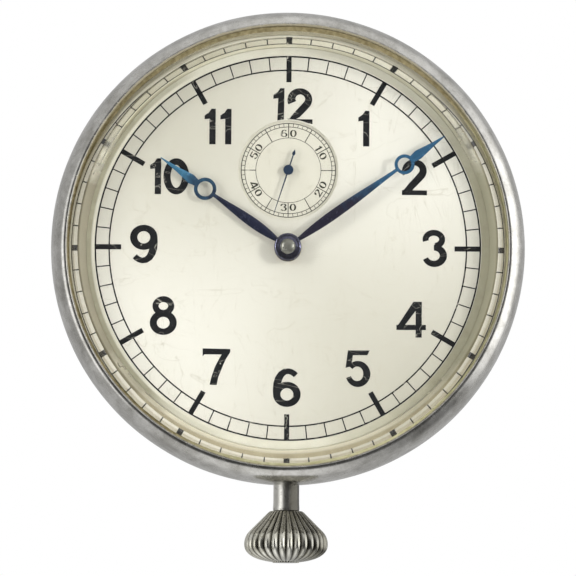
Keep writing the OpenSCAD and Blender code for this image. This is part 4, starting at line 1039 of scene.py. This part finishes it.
def crown_rings():
    """Down the cone, round the bulge and in to the foot."""
    rings = [(BORE_R, CROWN_TOP - 1, 0), (BORE_R, CROWN_TOP, 0), (TOP_R - 0.12, CROWN_TOP, 0),
             (TOP_R - 0.02, CROWN_TOP - 0.05, 0.05)]
    start = math.radians(45)
    end = (BULGE_OUT + BULGE_R * math.cos(start), BULGE_Z + BULGE_R * math.sin(start))
    cone_n = 14
    for i in range(1, cone_n):
        t = i / cone_n
        rings.append((TOP_R + (end[0] - TOP_R) * t, CROWN_TOP + (end[1] - CROWN_TOP) * t,
                      0.16 + (FLUTE_DEPTH - 0.16) * t))
    bulge_n, fullness = 31, 2.3
    for i in range(bulge_n):
        a = start - math.radians(135) * i / (bulge_n - 1)
        fade = min(1.0, (bulge_n - i) / 9)
        if a > 0:
            r = BULGE_OUT + BULGE_R * math.cos(a)
        else:
            r = CROWN_R * (1 - (-math.sin(a)) ** fullness) ** (1 / fullness)
        rings.append((max(r, FOOT_R), BULGE_Z + BULGE_R * math.sin(a), FLUTE_DEPTH * fade))
    return rings + [(FOOT_R - 0.05, CROWN_FOOT, 0)]


verts, faces = upright_lathe(crown_rings(), CROWN_SIDES)
top, low = len(verts), len(verts) + 1
verts += [(0, STEM_Y, CROWN_TOP - 1), (0, STEM_Y, CROWN_FOOT)]
for i in range(CROWN_SIDES):
    k = (i + 1) % CROWN_SIDES
    b = top - CROWN_SIDES
    faces += [(top, k, i), (low, b + i, b + k)]
make("crown_fluted", verts, faces, "winding", M["crown"], node="crown", slot="crown_nickel",
     smooth=50)

TUBE_BORE_R, TUBE_R, TUBE_TOP, TUBE_END = 1.17, 2.18, -37.5, -44.05
make("tube_flared", *upright_lathe(
    [(r, z, 0) for r, z in (
        (TUBE_BORE_R, TUBE_TOP), (TUBE_R, TUBE_TOP), (TUBE_R, -42.0), (TUBE_R + 0.01, -42.8),
        (TUBE_R + 0.04, -43.3), (TUBE_R + 0.06, -43.7), (TUBE_R + 0.04, -44.0),
        (TUBE_R - 0.02, TUBE_END), (TUBE_BORE_R, TUBE_END), (TUBE_BORE_R, TUBE_TOP))], 64),
    "case", M["tube"], node="pendant_tube", slot="case_nickel", smooth=35)


# Stage, light and camera

def floor_material():
    """White to the camera, pale to light that bounces, and not there for mirrored rays."""
    mat, g, bsdf = new_material("floor_white")
    g.fill(bsdf, {"Base Color": (0.9, 0.9, 0.9), "Roughness": 0.9})
    glow = g.add("ShaderNodeEmission")
    g.fill(glow, {"Color": (1, 1, 1)})
    path = g.add("ShaderNodeLightPath")
    seen = g.switch(g.math("MULTIPLY", path.outputs["Is Camera Ray"], 0.94), bsdf, glow)
    none = g.add("ShaderNodeBsdfTransparent")
    g.surface(g.switch(path.outputs["Is Glossy Ray"], seen, none))
    return mat


FLOOR_Z = -0.32
floor_mesh = bpy.data.meshes.new("floor")
floor_mesh.from_pydata([(x, y, FLOOR_Z) for x, y in ((-3, -3), (3, -3), (3, 3), (-3, 3))], [],
                       [(0, 1, 2, 3)])
floor = bpy.data.objects.new("floor", floor_mesh)
bpy.context.scene.collection.objects.link(floor)
floor_mesh.materials.append(floor_material())

# Brightness of the room's walls that the metal mirrors, round the view's axis from nine o'clock
# by six, three and twelve; then the brightest, and the room before and behind the clock and at
# a window to its left
WALLS = ((0.0, 0.45), (0.055, 0.50), (0.08, 0.7), (0.10, 0.50), (0.25, 1.15), (0.31, 0.55),
         (0.36, 0.20), (0.40, 0.25), (0.44, 1.8), (0.46, 2.2), (0.56, 2.2), (0.61, 0.95),
         (0.75, 0.90), (0.875, 0.68), (1.0, 0.45))
BRIGHTEST, FRONT, REAR, WINDOW = 2.2, 0.09, 0.55, 1.8

scene = bpy.context.scene
world = bpy.data.worlds.new("studio")
scene.world = world
world.use_nodes = True
g = Graph(world.node_tree)
backdrop = world.node_tree.nodes["Background"]
g.fill(backdrop, {"Color": (1, 1, 1), "Strength": 1.0})
room = g.add("ShaderNodeBackground")
x, y, z = g.axes("Generated")
turn = g.math("ADD", g.math("DIVIDE", g.math("ARCTAN2", z, x), 2 * math.pi), 0.5)
walls = g.grey(turn, [(place, level / BRIGHTEST) for place, level in WALLS])


def toward(aim):
    """How nearly a direction of the room points the same way as aim."""
    tex = g.add("ShaderNodeTexCoord")
    node = g.add("ShaderNodeVectorMath", operation="DOT_PRODUCT")
    g.link(tex.outputs["Generated"], node.inputs[0])
    node.inputs[1].default_value = Vector(aim).normalized()
    return node.outputs["Value"]


window = g.grey(toward((-0.73, -0.68, -0.12)), [(0.87, 0.0), (0.96, 1.0)])
front = g.grey(toward((0.0, -0.96, -0.20)), [(0.70, 0.0), (0.86, 1.0)])
rear = g.grey(y, [(0.25, 0.0), (0.75, 1.0)])
level = walls
for fac, bright in ((window, WINDOW), (front, FRONT), (rear, REAR)):
    level = g.mix(fac, level, (bright / BRIGHTEST,) * 3)
g.fill(room, {"Color": level, "Strength": BRIGHTEST})
path = g.add("ShaderNodeLightPath")
sky = g.switch(path.outputs["Is Camera Ray"], room, backdrop)
g.link(sky.outputs[0], world.node_tree.nodes["World Output"].inputs["Surface"])


def lamp(name, at, size, power):
    """A soft lamp that lights the clock's middle and isn't mirrored, its place in metres."""
    data = bpy.data.lights.new(name, "AREA")
    data.shape = "RECTANGLE"
    data.size, data.size_y = size
    data.energy = power
    obj = bpy.data.objects.new(name, data)
    scene.collection.objects.link(obj)
    obj.location = at
    obj.rotation_euler = (-Vector(at)).to_track_quat("-Z", "Y").to_euler()
    obj.visible_glossy = False


lamp("lamp_right", (0.75, -0.75, 0.15), (0.16, 0.3), 5.4)
lamp("lamp_left", (-0.8, -0.7, 0.25), (0.35, 0.6), 4.6)
lamp("lamp_back", (0.2, 0.8, 0.6), (0.6, 0.6), 6.0)

# The camera's angles in degrees, its distance in metres, and the picture's scale and width
CAM_AZ, CAM_EL, CAM_ROLL, CAM_DIST = 0.15, -4.7, 0.38, 1.0
PX_PER_MM, PICTURE_W, SENSOR_W = 5.929, 576, 36
target = Vector((0.07 * MM, DIAL_Y * MM, -6.7 * MM))
a, e = math.radians(CAM_AZ), math.radians(CAM_EL)
back = Vector((math.sin(a) * math.cos(e), -math.cos(a) * math.cos(e), math.sin(e)))
cam_data = bpy.data.cameras.new("camera")
cam = bpy.data.objects.new("camera", cam_data)
scene.collection.objects.link(cam)
cam.location = target + back * CAM_DIST
turn = (-back).to_track_quat("-Z", "Y").to_matrix().to_4x4()
cam.matrix_world = (Matrix.Translation(cam.location) @ turn
                    @ Matrix.Rotation(math.radians(CAM_ROLL), 4, "Z"))
cam_data.sensor_width = SENSOR_W
cam_data.lens = SENSOR_W * PX_PER_MM * CAM_DIST / (PICTURE_W * MM)
cam_data.clip_start, cam_data.clip_end = 0.05, 20
scene.camera = cam
scene.view_settings.view_transform = "Standard"
